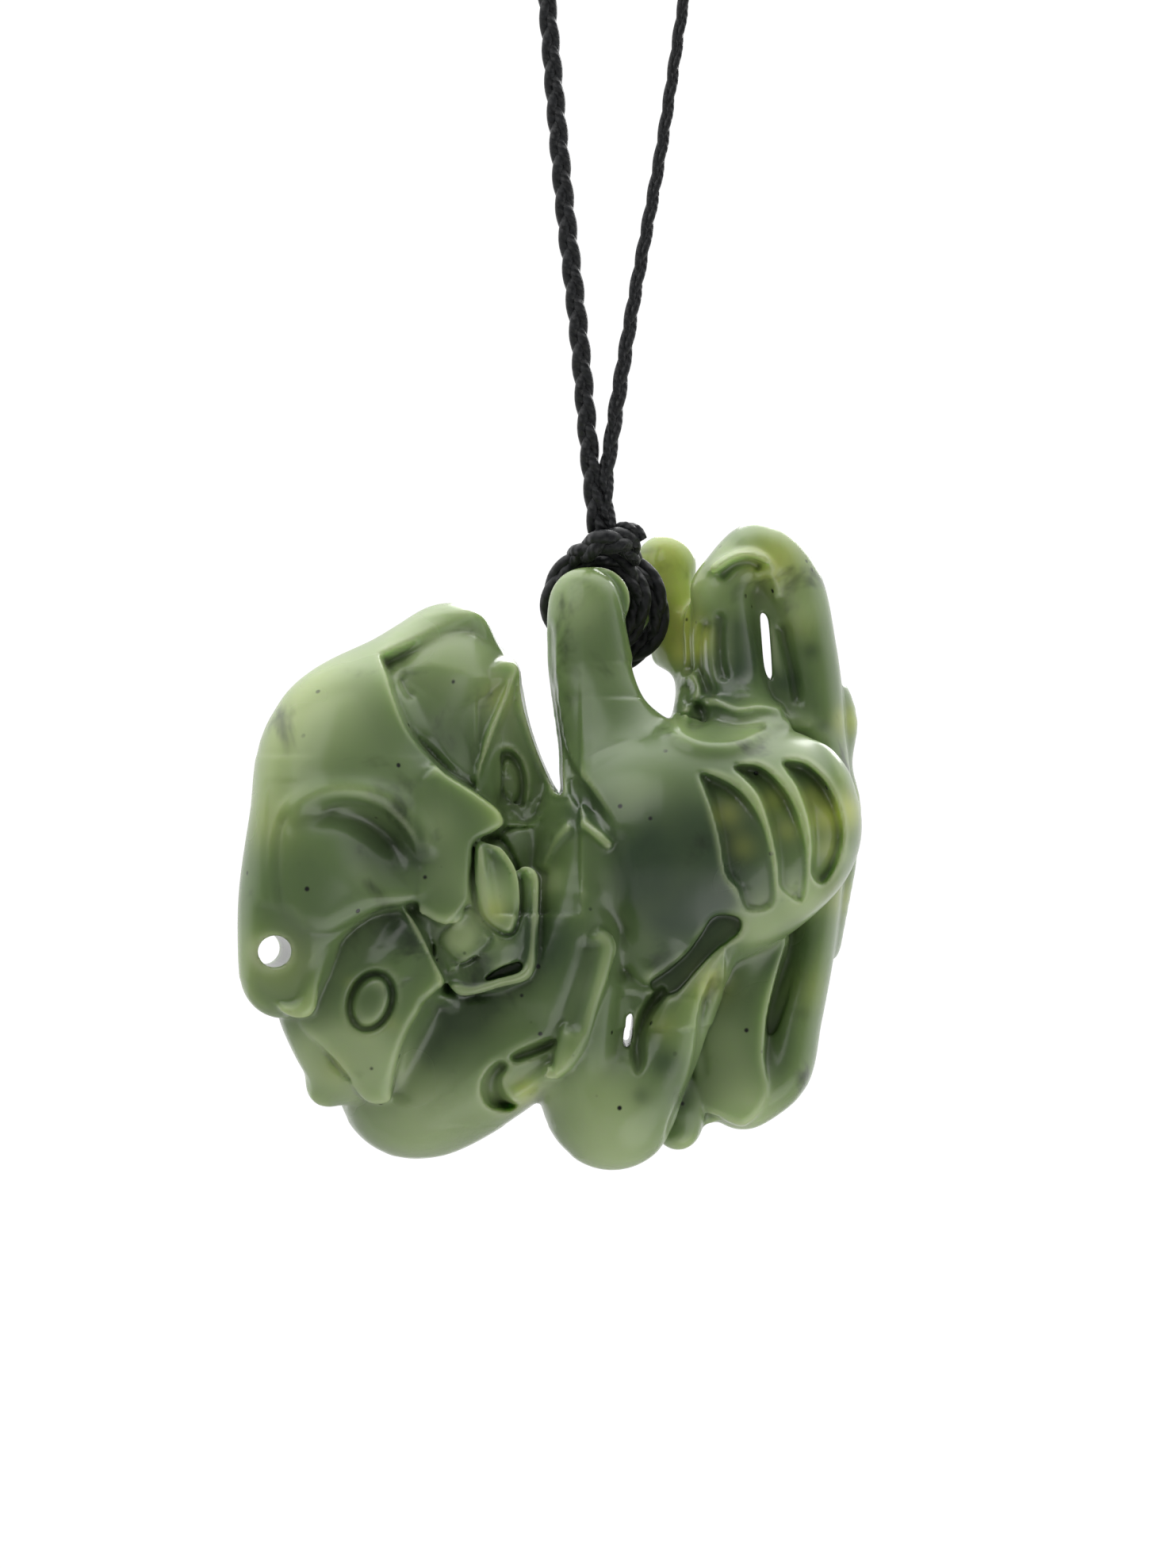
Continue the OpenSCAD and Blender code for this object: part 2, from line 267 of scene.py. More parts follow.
def plait(name, route, closed=False, phase=0.0, period=PLAIT_PERIOD):
    """A three-strand plait along route, rows of x, y, z and thickness, in mm of the stone's frame."""
    if closed:
        line = even(np.vstack([route, route[:1]]), RING_STEP)[:-1]
    else:
        line = even(route, RING_STEP)
    n = len(line)
    at = line[:, :3]
    thick = line[:, 3]
    way = np.roll(at, -1, 0) - np.roll(at, 1, 0) if closed else np.gradient(at, axis=0)
    way /= np.linalg.norm(way, axis=1)[:, None]
    # A frame carried along the line without twist.
    side = np.zeros_like(at)
    ref = np.array([0.0, 1.0, 0.0]) if abs(way[0][1]) < 0.8 else np.array([1.0, 0.0, 0.0])
    side[0] = np.cross(ref, way[0])
    side[0] /= np.linalg.norm(side[0])
    for i in range(1, n):
        s = side[i - 1] - way[i] * side[i - 1].dot(way[i])
        side[i] = s / np.linalg.norm(s)
    up = np.cross(way, side)
    s_at = np.concatenate([[0], np.cumsum(np.linalg.norm(np.diff(at, axis=0), axis=1))])
    if closed:
        total = s_at[-1] + np.linalg.norm(at[0] - at[-1])
        period = total / max(1, round(total / period))
    turn = 2 * math.pi * np.arange(STRAND_SIDES) / STRAND_SIDES
    verts, faces, lays = [], [], []
    for k in range(STRANDS):
        a = 2 * math.pi * (s_at / period + k / STRANDS) + phase
        centre = at + side * (np.sin(a) * SWAY * thick)[:, None] + up * (np.sin(2 * a) * DIP * thick)[:, None]
        r = STRAND_R * thick
        base = k * n * STRAND_SIDES
        ring = (
            centre[:, None, :]
            + side[:, None, :] * (np.cos(turn)[None, :] * r[:, None])[:, :, None]
            + up[:, None, :] * (np.sin(turn)[None, :] * r[:, None])[:, :, None]
        )
        verts.append(ring.reshape(-1, 3))
        lays.append((2 * turn[None, :] + 2 * math.pi * FIBRE_TURNS * (s_at / period)[:, None]).reshape(-1))
        for i in range(n if closed else n - 1):
            this, after = base + i * STRAND_SIDES, base + (i + 1) % n * STRAND_SIDES
            for q in range(STRAND_SIDES):
                w = (q + 1) % STRAND_SIDES
                faces.append((this + q, this + w, after + w, after + q))
        if not closed:
            faces.append(range(base + STRAND_SIDES - 1, base - 1, -1))
            faces.append(range(base + (n - 1) * STRAND_SIDES, base + n * STRAND_SIDES))
    ob = mesh_object(name, row(np.vstack(verts)), faces, CORD)
    layer = ob.data.attributes.new("lay", "FLOAT", "POINT")
    layer.data.foreach_set("value", np.concatenate(lays).astype(np.float32))
    return ob, row(at)


CORD_THICK = 1.55
THIN_THICK = 1.25
BIGHT_R = 5.8
BIGHT_DIP = math.radians(7)
left_run = [
    [0.75, 2.25, 20, CORD_THICK],
    [0.5, 2.25, 22.5, CORD_THICK],
    [0, 2.25, 27.5, CORD_THICK],
    [-0.75, 2, 36, CORD_THICK],
    [-2, 2, 47.5, CORD_THICK],
    [-3.2, 2, 61.5, 1.45],
]
bight = [
    [
        PEG[0] - BIGHT_R * math.cos(t),
        2,
        PEG[2] + BIGHT_R * math.sin(t),
        1.4 - 0.35 * (t + BIGHT_DIP) / (math.pi + 2 * BIGHT_DIP),
    ]
    for t in np.linspace(-BIGHT_DIP, math.pi + BIGHT_DIP, 14)
]
right_run = [
    [7.5, 2, 61.5, 0.95],
    [5.75, 2, 50, 1.0],
    [3.75, 2, 39, 1.08],
    [2.35, 2.25, 30.5, THIN_THICK],
    [1.9, 2.25, 27.5, THIN_THICK],
    [1.5, 2.25, 25, THIN_THICK],
    [1.4, 2.25, 22.5, THIN_THICK],
    [1.75, 2.25, 20, THIN_THICK],
]
whole = spline(left_run + bight + right_run, 0.5)
cord, cord_path = plait("plaited_cord", whole)
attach(cord, "cord")
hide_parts("cord_left", "cord_right", "cord_bight")

# The tie: a front turn, a wider one behind it, the bar over both runs, and the short end.
TIE_X, TIE_Z = 0.7, 14.5
TURN_THICK = 1.8
TURN_PERIOD = 11.0


def turn_of_cord(radius, y_top, y_low, shift_x, shift_z):
    a = np.linspace(0, 2 * math.pi, 40, endpoint=False)
    x = TIE_X + shift_x + radius * np.sin(a)
    y = y_top + (y_low - y_top) * (1 - np.cos(a)) / 2
    z = TIE_Z + shift_z + radius * np.cos(a)
    return np.stack([x, y, z, np.full_like(a, TURN_THICK)], 1)


bar_route = [
    [-1.3, 3.4, 17.9, 1.6],
    [-0.2, 1.9, 18.5, 1.9],
    [1.1, 0.9, 19.1, 2.1],
    [2.5, 1.2, 19.3, 2.1],
    [3.4, 2.3, 18.7, 1.9],
    [3.7, 3.7, 17.8, 1.5],
]
end_route = [[1.9, 2.8, 19.6, 1.2], [2.9, 2.2, 20.3, 1.3], [3.7, 2.0, 20.0, 1.35], [4.2, 2.1, 19.3, 1.1]]
front_route = turn_of_cord(3.55, 3.3, 4.1, -0.1, 0.0)
back_route = turn_of_cord(4.2, 4.6, 5.7, 0.8, -0.6)
for (piece, _), node in (
    (plait("tie_front_turn", front_route, closed=True, period=TURN_PERIOD), "tie_turn_front"),
    (plait("tie_back_turn", back_route, closed=True, phase=1.0, period=TURN_PERIOD), "tie_turn_back"),
    (plait("tie_bar", spline(bar_route, 0.4)), "tie_knot"),
    (plait("tie_end", spline(end_route, 0.3)), "tie_tail"),
):
    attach(piece, "cord")
    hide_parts(node)


# ---------------------------------------------------------------- stone
# Carved masses, each a route of x, y, z, half width seen from the front and half depth, in mm.
LIMBS = {
    "snout": [(-23, -12.5, -14.5, 3.2, 3.2), (-22.1, -13, -9, 4.1, 4.2), (-20.4, -12, -2.75, 5, 5.4),
        (-19, -9.5, 3, 5.5, 6), (-14, -6, 6.25, 5.4, 6), (-11, -3, 9.8, 4.1, 5)],
    "skull": [(-17.5, -7, -9.25, 5, 4.4), (-15, -6.5, -4.5, 6.4, 5.5), (-11, -3.5, 1.5, 5.8, 5),
        (-9.5, -1.5, 6.5, 4, 4.4)],
    "lower_face": [(-17.25, -6.25, -12.25, 3.8, 4), (-11.5, -5.5, -10, 5, 4), (-7, -3, -5, 4, 4)],
    "brow": [(-16.5, -9, 0.25, 4.2, 5.6), (-12, -8.5, -3.5, 3.6, 5), (-10.5, -8.5, -7.75, 2.8, 4.4)],
    "far_face": [(-10.6, -0.5, 11, 2.7, 3.8), (-8.3, 0.5, 7.1, 3.2, 4), (-6.5, 1.5, 1.5, 3.2, 4),
        (-4.5, 2, -3.75, 2.4, 3.6)],
    "near_cheek": [(-13.25, -8.5, -10.75, 2.6, 4), (-15.5, -9, -15, 4, 4.4), (-17.25, -8, -19.25, 3.6, 4.4),
        (-19.5, -6, -22.5, 2, 3.6)],
    "jaw_flap": [(-21.5, -9.5, -17, 2.2, 3), (-20, -8, -20.5, 2.2, 3), (-18.5, -6.5, -22.6, 1.8, 2.6)],
    "jaw": [(-9.25, -8, -8, 2.4, 4), (-7.25, -8, -10.75, 3.2, 4.4), (-7, -7.5, -13.25, 2.6, 4)],
    "neck": [(-13.75, -3, -13, 3, 6), (-15, -2.5, -20.5, 4.4, 7), (-13.6, -1.5, -24, 5.2, 7),
        (-7.8, -2, -20.9, 5.3, 7), (-3.5, -3, -16.25, 5.2, 7), (-1, -3.5, -10, 3.8, 6.4),
        (-0.5, -3, -5.25, 3, 5.6)],
    "torso": [(1.5, -1, -4.75, 7.2, 8), (5.5, -1, -4.75, 9.8, 9.6), (10, -0.5, -4.5, 9.2, 9.4),
        (14, 0.5, -3.25, 7.6, 7.6)],
    "chest": [(0.75, -1, -5.75, 3.8, 6), (1.25, 0, 0, 3.8, 5), (1.5, 0, 3.75, 4.2, 3.6)],
    "arm": [(1.5, 0, 1.75, 4.4, 4), (0.5, 0, 6.75, 3.6, 3.2), (0, 0, 10.5, 3.2, 2.8),
        (-0.25, 0, 14.25, 2.8, 2.6)],
    "thigh": [(0.25, -3, -11.75, 3.8, 6), (-0.75, -4, -18.5, 3.4, 5.6), (-0.5, -4, -23, 3.4, 5),
        (1.75, -3.5, -25, 4.8, 5)],
    "shin": [(2, -3.5, -25, 4.6, 5), (5.25, -3, -21.75, 3, 4.4), (7, -2.5, -17.5, 2.8, 4.4),
        (8.5, -2, -12.5, 3.2, 5)],
    "calf": [(2.75, -2, -15.5, 2.8, 4), (3.75, -2, -21.5, 2.8, 4)],
    "toe": [(7, 1, -24.8, 2.3, 3), (7.1, 1.6, -26.9, 1.9, 3)],
    "rear_leg": [(12.75, 3, -12, 3.2, 4), (11.5, 3.5, -17.25, 2.8, 4), (11.5, 3.5, -22.25, 2.8, 4),
        (12, 3.5, -24.25, 2.8, 4)],
    "rear_web": [(14.75, 6, -12.5, 2.2, 1.8), (14.25, 6, -20, 2.2, 1.8)],
    "tail_band": [(10.25, 4, 15.5, 2, 3), (13.5, 4.5, 18.45, 2.4, 3.6), (16.1, 5.5, 16.1, 2.5, 3.6),
        (17.5, 6.5, 10.75, 2.4, 3.6), (18.5, 7, 3.75, 2.2, 3.6), (18.75, 7, -4.5, 2, 3.6),
        (18, 6.5, -12.25, 1.9, 3.6), (16.6, 5.5, -18.5, 2.1, 3.6), (15.25, 4.5, -23, 2.4, 3.6),
        (12.5, 3.5, -25, 2.4, 3.6)],
    "haunch": [(10.75, 4, 15.5, 2.2, 3.2), (11, 4.5, 11.25, 2.6, 3.6), (11.5, 4, 6.75, 2.8, 4),
        (12.25, 2, 3, 3.8, 5)],
    "hock": [(14.5, 8, 17, 1.6, 2.4), (16, 8.5, 12.75, 1.4, 2.4), (16.25, 8.5, 8.25, 1.4, 2.4),
        (16.5, 6, 3.75, 1.8, 3)],
    "paw": [(6.3, 10.5, 17.8, 2.5, 2.4), (6.6, 10.5, 14.6, 1.9, 2.4), (7.5, 10, 11, 2.1, 2.6),
        (8, 7.5, 6.5, 1.6, 3), (8.75, 4, 3.75, 2.6, 4)],
    "wrist": [(0.7, 9.6, 14.5, 2.4, 1.9), (3.5, 10, 14.75, 2.4, 2.2), (6.25, 10.5, 15, 2.4, 2.4)],
    "back_ridge": [(20.3, 9, 7.5, 0.8, 2), (20.9, 9.2, 5, 0.9, 2), (20.6, 9.5, 1.5, 0.8, 2),
        (21.2, 9.5, -2, 0.9, 2), (20.9, 9.5, -6.5, 0.8, 2), (19.5, 8.5, -13.5, 0.8, 2)],
}
# Limbs that melt into each other are joined in one group, and the groups meet along firmer creases.
GROUPS = [
    (["snout", "skull", "brow"], 2.5),
    (["far_face", "lower_face"], 1.5),
    (["near_cheek"], 0.5),
    (["jaw_flap"], 0.5),
    (["jaw"], 0.5),
    (["neck"], 0.5),
    (["torso", "chest", "arm"], 3.0),
    (["thigh", "shin", "calf"], 1.4),
    (["toe"], 0.5),
    (["rear_leg", "rear_web", "tail_band"], 1.2),
    (["haunch"], 0.8),
    (["hock"], 0.5),
    (["paw", "wrist"], 1.0),
    (["back_ridge"], 0.4),
]
GROUP_BLEND = 0.7

# Lines and areas of the carving, where they lie in the stone's middle plane as the camera sees them, in mm.
LINES = {
    "brow_rim": [(-24.3, -3.2), (-22.5, -1.3), (-19.5, -0.4), (-16.3, -0.8), (-14.3, -2.3), (-12.8, -4.3),
        (-12.1, -6.3)],
    "cheek_line": [(-14.7, -9.4), (-13.6, -11), (-12.3, -13.5), (-11.4, -15.5), (-11.6, -16.5)],
    "flap_slit": [(-21, -21), (-20, -21.5), (-19, -22.6), (-18.3, -23.6), (-19.3, -23.3), (-20.4, -22.2)],
    "far_edge": [(-16.5, 10.4), (-15.8, 8.8), (-15.2, 6.8), (-14.2, 4.4), (-12.9, 2.7), (-11, 0.8),
        (-8.8, -0.6), (-7.1, -1.9), (-6.5, -3), (-7.3, -4), (-8.8, -4.3)],
    "far_bowl": [(-15.1, 8.7), (-12.3, 9.4), (-8.8, 8.5), (-6.3, 8), (-7.3, 4.6), (-8.5, 0.8), (-10.4, 1.5),
        (-12.6, 3.3), (-14.2, 5.5)],
    "far_crease": [(-14.8, 8.5), (-14.5, 7.7), (-13.8, 6.7)],
    "far_ridge": [(-5.5, 9.2), (-6.3, 6.8), (-7.3, 4.4), (-8.1, 2.1), (-8.7, -0.2)],
    "leaf": [(-8.7, -4.6), (-7.1, -4.3), (-6, -5.7), (-5.3, -7.9), (-5.4, -10.2), (-6, -11.8),
        (-7.2, -11.6), (-8.5, -10.4), (-9.1, -8.2), (-9, -6)],
    "plate": [(-11.8, -12.1), (-10.6, -10.8), (-9.3, -9.6), (-8.7, -11), (-7.6, -12.1), (-8.7, -13.4),
        (-10, -14.2), (-11.2, -13.3)],
    "jaw_rim": [(-5.1, -6.8), (-4.1, -7.3), (-4, -8.8), (-4.4, -12), (-4.8, -14.7), (-7, -15.7),
        (-9.3, -16.3), (-11.1, -15.7)],
    "recess_rim": [(-1.2, -3), (-2.5, -4.3), (-3.3, -5.8), (-3.8, -7)],
    "neck_crease": [(-11.2, -16.8), (-12.5, -19.5), (-13.7, -22), (-14.7, -23.8), (-15.3, -25.3)],
    "pit_a": [(-8.5, -23.5), (-7.8, -22.3), (-6.8, -21.7), (-6.2, -22.3), (-6.7, -23.3), (-6.3, -24.7),
        (-5.3, -25.2), (-6.2, -25.8), (-7.7, -25.6), (-8.4, -24.7)],
    "pit_b": [(-6.2, -21.4), (-4.8, -20.6), (-2.5, -20), (-2.7, -20.8), (-4.5, -21.7), (-5.8, -22)],
    "pit_bar": [(-6.3, -25), (-4.6, -24), (-2.5, -22.3)],
    "finger_groove": [(0.3, -12), (0, -14), (-0.7, -17.1), (-1.6, -19.8)],
    "arm_wedge": [(-1.9, 0.3), (-0.3, 0.3), (0.9, -1), (2.3, -3.3), (2, -4.6), (0.4, -3.2), (-1, -1.8)],
    "arm_facet": [(-2.8, 13.3), (-2.7, 9.9), (-2.3, 5.5), (-1.6, 2.4), (-0.1, -0.1), (2.2, -3.5)],
    "bright_bar": [(-0.7, -2.8), (0.5, -3.8), (2, -5.1)],
    "torso_lip": [(5.3, 5), (6.8, 4.2), (9, 3.2), (11.8, 3.3), (14.4, 4.7), (16.5, 4.9), (18.5, 3.7),
        (20, 1.2), (20.7, -1.5)],
    "leg_trough": [(5.9, -15.8), (4.6, -17), (3.7, -18.5), (3.2, -20.2), (3.3, -22), (3.9, -23.1),
        (4.6, -22), (4.6, -20.1), (5.2, -18.3), (6.3, -16.7)],
    "leg_step": [(10, -14.6), (8.9, -17.6), (8.4, -21.3), (7.8, -23.7), (6.8, -25.7), (5.9, -28.1)],
    "band_groove": [(15.2, 12.9), (15.5, 11.2), (16.1, 8.7), (16.5, 6)],
    "rear_crease": [(9.3, -16.3), (8.9, -19.5), (9.3, -23.2)],
}

VOXEL = 0.2
GRID_LO = np.array([-28.5, -19.5, -32.0])
GRID_HI = np.array([23.0, 15.5, 22.5])
FAR = 6.0  # mm, the distance that empty space starts with
ROUTE_STEP = 1.0
CORE = 0.3  # share of a limb's half width
PLANE_STEP = 0.1  # mm, between the points that the strokes and outlines are worked out at
STAMP_MARGIN = 1.0
STROKE_MARGIN = 6.0
# An outline seen from the front covers a little more of the grid where that lies farther back.
SPREAD, SPREAD_MARGIN = 1.02, 1.5
STEP_EDGE = 0.3  # mm over which a step rises
WINDOW = 0.8  # mm over which a stroke ends in depth
CARVED_BAND = 4.0  # mm on both sides of the surface
SHAPE = tuple(int(c) for c in np.ceil((GRID_HI - GRID_LO) / VOXEL))
AXES = [GRID_LO[k] + VOXEL * np.arange(SHAPE[k]) for k in range(3)]


def cells(lo, hi):
    """Slices of the grid that cover the box from lo to hi."""
    a = np.clip(np.floor((np.asarray(lo) - GRID_LO) / VOXEL).astype(int), 0, SHAPE)
    b = np.clip(np.ceil((np.asarray(hi) - GRID_LO) / VOXEL).astype(int) + 1, 0, SHAPE)
    return tuple(slice(i, j) for i, j in zip(a, b))


def coordinates(box):
    return (
        AXES[0][box[0]][:, None, None].astype(np.float32),
        AXES[1][box[1]][None, :, None].astype(np.float32),
        AXES[2][box[2]][None, None, :].astype(np.float32),
    )


def soft_min(a, b, k):
    h = np.maximum(k - np.abs(a - b), 0) / k
    return np.minimum(a, b) - h * h * (k / 4)


def soft_cut(field, hole, k):
    return -soft_min(-field, hole, k)


def add_route(field, route, blend):
    """Joins a swept limb into the field."""
    p = spline(route, ROUTE_STEP)
    for a, b in zip(p[:-1], p[1:]):
        reach = max(a[3:].max(), b[3:].max()) + blend + 1.0
        box = cells(np.minimum(a[:3], b[:3]) - reach, np.maximum(a[:3], b[:3]) + reach)
        x, y, z = coordinates(box)
        ab = b[:3] - a[:3]
        length = float(np.linalg.norm(ab))
        way = ab / length
        deep = np.array([0, 1, 0]) - way * way[1]
        deep /= np.linalg.norm(deep)
        wide = np.cross(deep, way)
        rx, ry, rz = x - np.float32(a[0]), y - np.float32(a[1]), z - np.float32(a[2])
        along = rx * way[0] + ry * way[1] + rz * way[2]
        t = np.clip(along / length, 0, 1)
        over = along - t * length
        w = a[3] + (b[3] - a[3]) * t
        d = a[4] + (b[4] - a[4]) * t
        rw = rx * wide[0] + ry * wide[1] + rz * wide[2]
        rd = rx * deep[0] + ry * deep[1] + rz * deep[2]
        k = np.sqrt((rw / w) ** 2 + (rd / d) ** 2 + (over / w) ** 2) + 1e-4
        size = np.sqrt(rw**2 + rd**2 + over**2)
        dist = (size * (1 - 1 / k)).astype(np.float32)
        # Near the middle line the quotient isn't steady, so the distance is the half width.
        dist = np.where(k < CORE, -np.minimum(w, d), dist)
        field[box] = soft_min(field[box], dist, blend)


def empty():
    return np.full(SHAPE, FAR, np.float32)


field = empty()
for names, blend in GROUPS:
    part = empty()
    for name in names:
        one = empty()
        add_route(one, LIMBS[name], 0.4)
        part = soft_min(part, one, blend)
    field = soft_min(field, part, GROUP_BLEND)

# Free room for the turns of cord, and the round stretch of limb that they sit on.
TIE_ROOM_R, TIE_ROOM_FRONT, TIE_ROOM_BACK = 6.2, 2.75, 6.9
LIMB_R, LIMB_FRONT, LIMB_BACK = 2.6, 0, 10
x, y, z = coordinates(np.s_[:, :, :])
radial = np.sqrt((x - TIE_X) ** 2 + (z - TIE_Z) ** 2)
room = np.maximum(np.maximum(radial - TIE_ROOM_R, TIE_ROOM_FRONT - y), y - TIE_ROOM_BACK)
field = soft_cut(field, room, 0.3)
stretch = np.maximum(np.maximum(radial - LIMB_R, LIMB_FRONT - y), y - LIMB_BACK)
field = soft_min(field, stretch, 0.3)


# -- strokes of the carving -------------------------------------------------
def plane_distance(line, closed, grid_u, grid_v):
    """Each point's distance in mm from the line, the side of it, and how far along the line it lies."""
    p = np.asarray(line, float)
    if closed:
        p = np.vstack([p, p[:1]])
    best = np.full(grid_u.shape, 1e9)
    side = np.zeros(grid_u.shape)
    along = np.zeros(grid_u.shape)
    inside = np.zeros(grid_u.shape, bool)
    lengths = np.linalg.norm(np.diff(p, axis=0), axis=1)
    total = lengths.sum()
    done = 0.0
    for (ax, ay), (bx, by), length in zip(p[:-1], p[1:], lengths):
        dx, dy = bx - ax, by - ay
        t = np.clip(((grid_u - ax) * dx + (grid_v - ay) * dy) / (length**2 + 1e-12), 0, 1)
        ex, ey = grid_u - ax - t * dx, grid_v - ay - t * dy
        d = np.hypot(ex, ey)
        near = d < best
        best = np.where(near, d, best)
        side = np.where(near, np.sign(dx * ey - dy * ex), side)
        along = np.where(near, (done + t * length) / total, along)
        if closed:
            crosses = ((ay > grid_v) != (by > grid_v)) & (
                grid_u < (bx - ax) * (grid_v - ay) / (by - ay + 1e-12) + ax
            )
            inside ^= crosses
        done += length
    if closed:
        side = np.where(inside, 1.0, -1.0)
    return best, side, along


class Area:
    """A grid in the stone's middle plane round a line, with each point's distance from the line."""

    def __init__(self, line, closed, margin):
        self.lo, self.hi = line.min(0) - margin, line.max(0) + margin
        n = np.ceil((self.hi - self.lo) / PLANE_STEP).astype(int)
        u, v = (self.lo[k] + PLANE_STEP * np.arange(n[k]) for k in range(2))
        self.u, self.v = np.meshgrid(u, v, indexing="ij")
        self.distance, self.side, self.along = plane_distance(line, closed, self.u, self.v)

    def read(self, values, u, v):
        """Which of the points u, v the grid reaches, and the values there."""
        i, j = (u - self.lo[0]) / PLANE_STEP, (v - self.lo[1]) / PLANE_STEP
        ok = (i >= 0) & (j >= 0) & (i < values.shape[0] - 2) & (j < values.shape[1] - 2)
        i, j = i[ok], j[ok]
        i0, j0 = i.astype(int), j.astype(int)
        fi, fj = i - i0, j - j0
        return ok, (
            values[i0, j0] * (1 - fi) * (1 - fj)
            + values[i0 + 1, j0] * fi * (1 - fj)
            + values[i0, j0 + 1] * (1 - fi) * fj
            + values[i0 + 1, j0 + 1] * fi * fj
        )


def box_blur(a, reach):
    """Two running means along each axis."""
    n = max(1, int(round(reach / VOXEL)))
    for axis in range(3):
        for _ in range(2):
            pad = [(0, 0)] * 3
            pad[axis] = (n, n)
            c = np.cumsum(np.pad(a, pad, mode="edge"), axis=axis, dtype=np.float64)
            first = [(0, 0)] * 3
            first[axis] = (1, 0)
            c = np.pad(c, first)
            hi = np.take(c, range(2 * n + 1, c.shape[axis]), axis=axis)
            lo = np.take(c, range(0, c.shape[axis] - 2 * n - 1), axis=axis)
            a = ((hi - lo) / (2 * n + 1)).astype(np.float32)
    return a


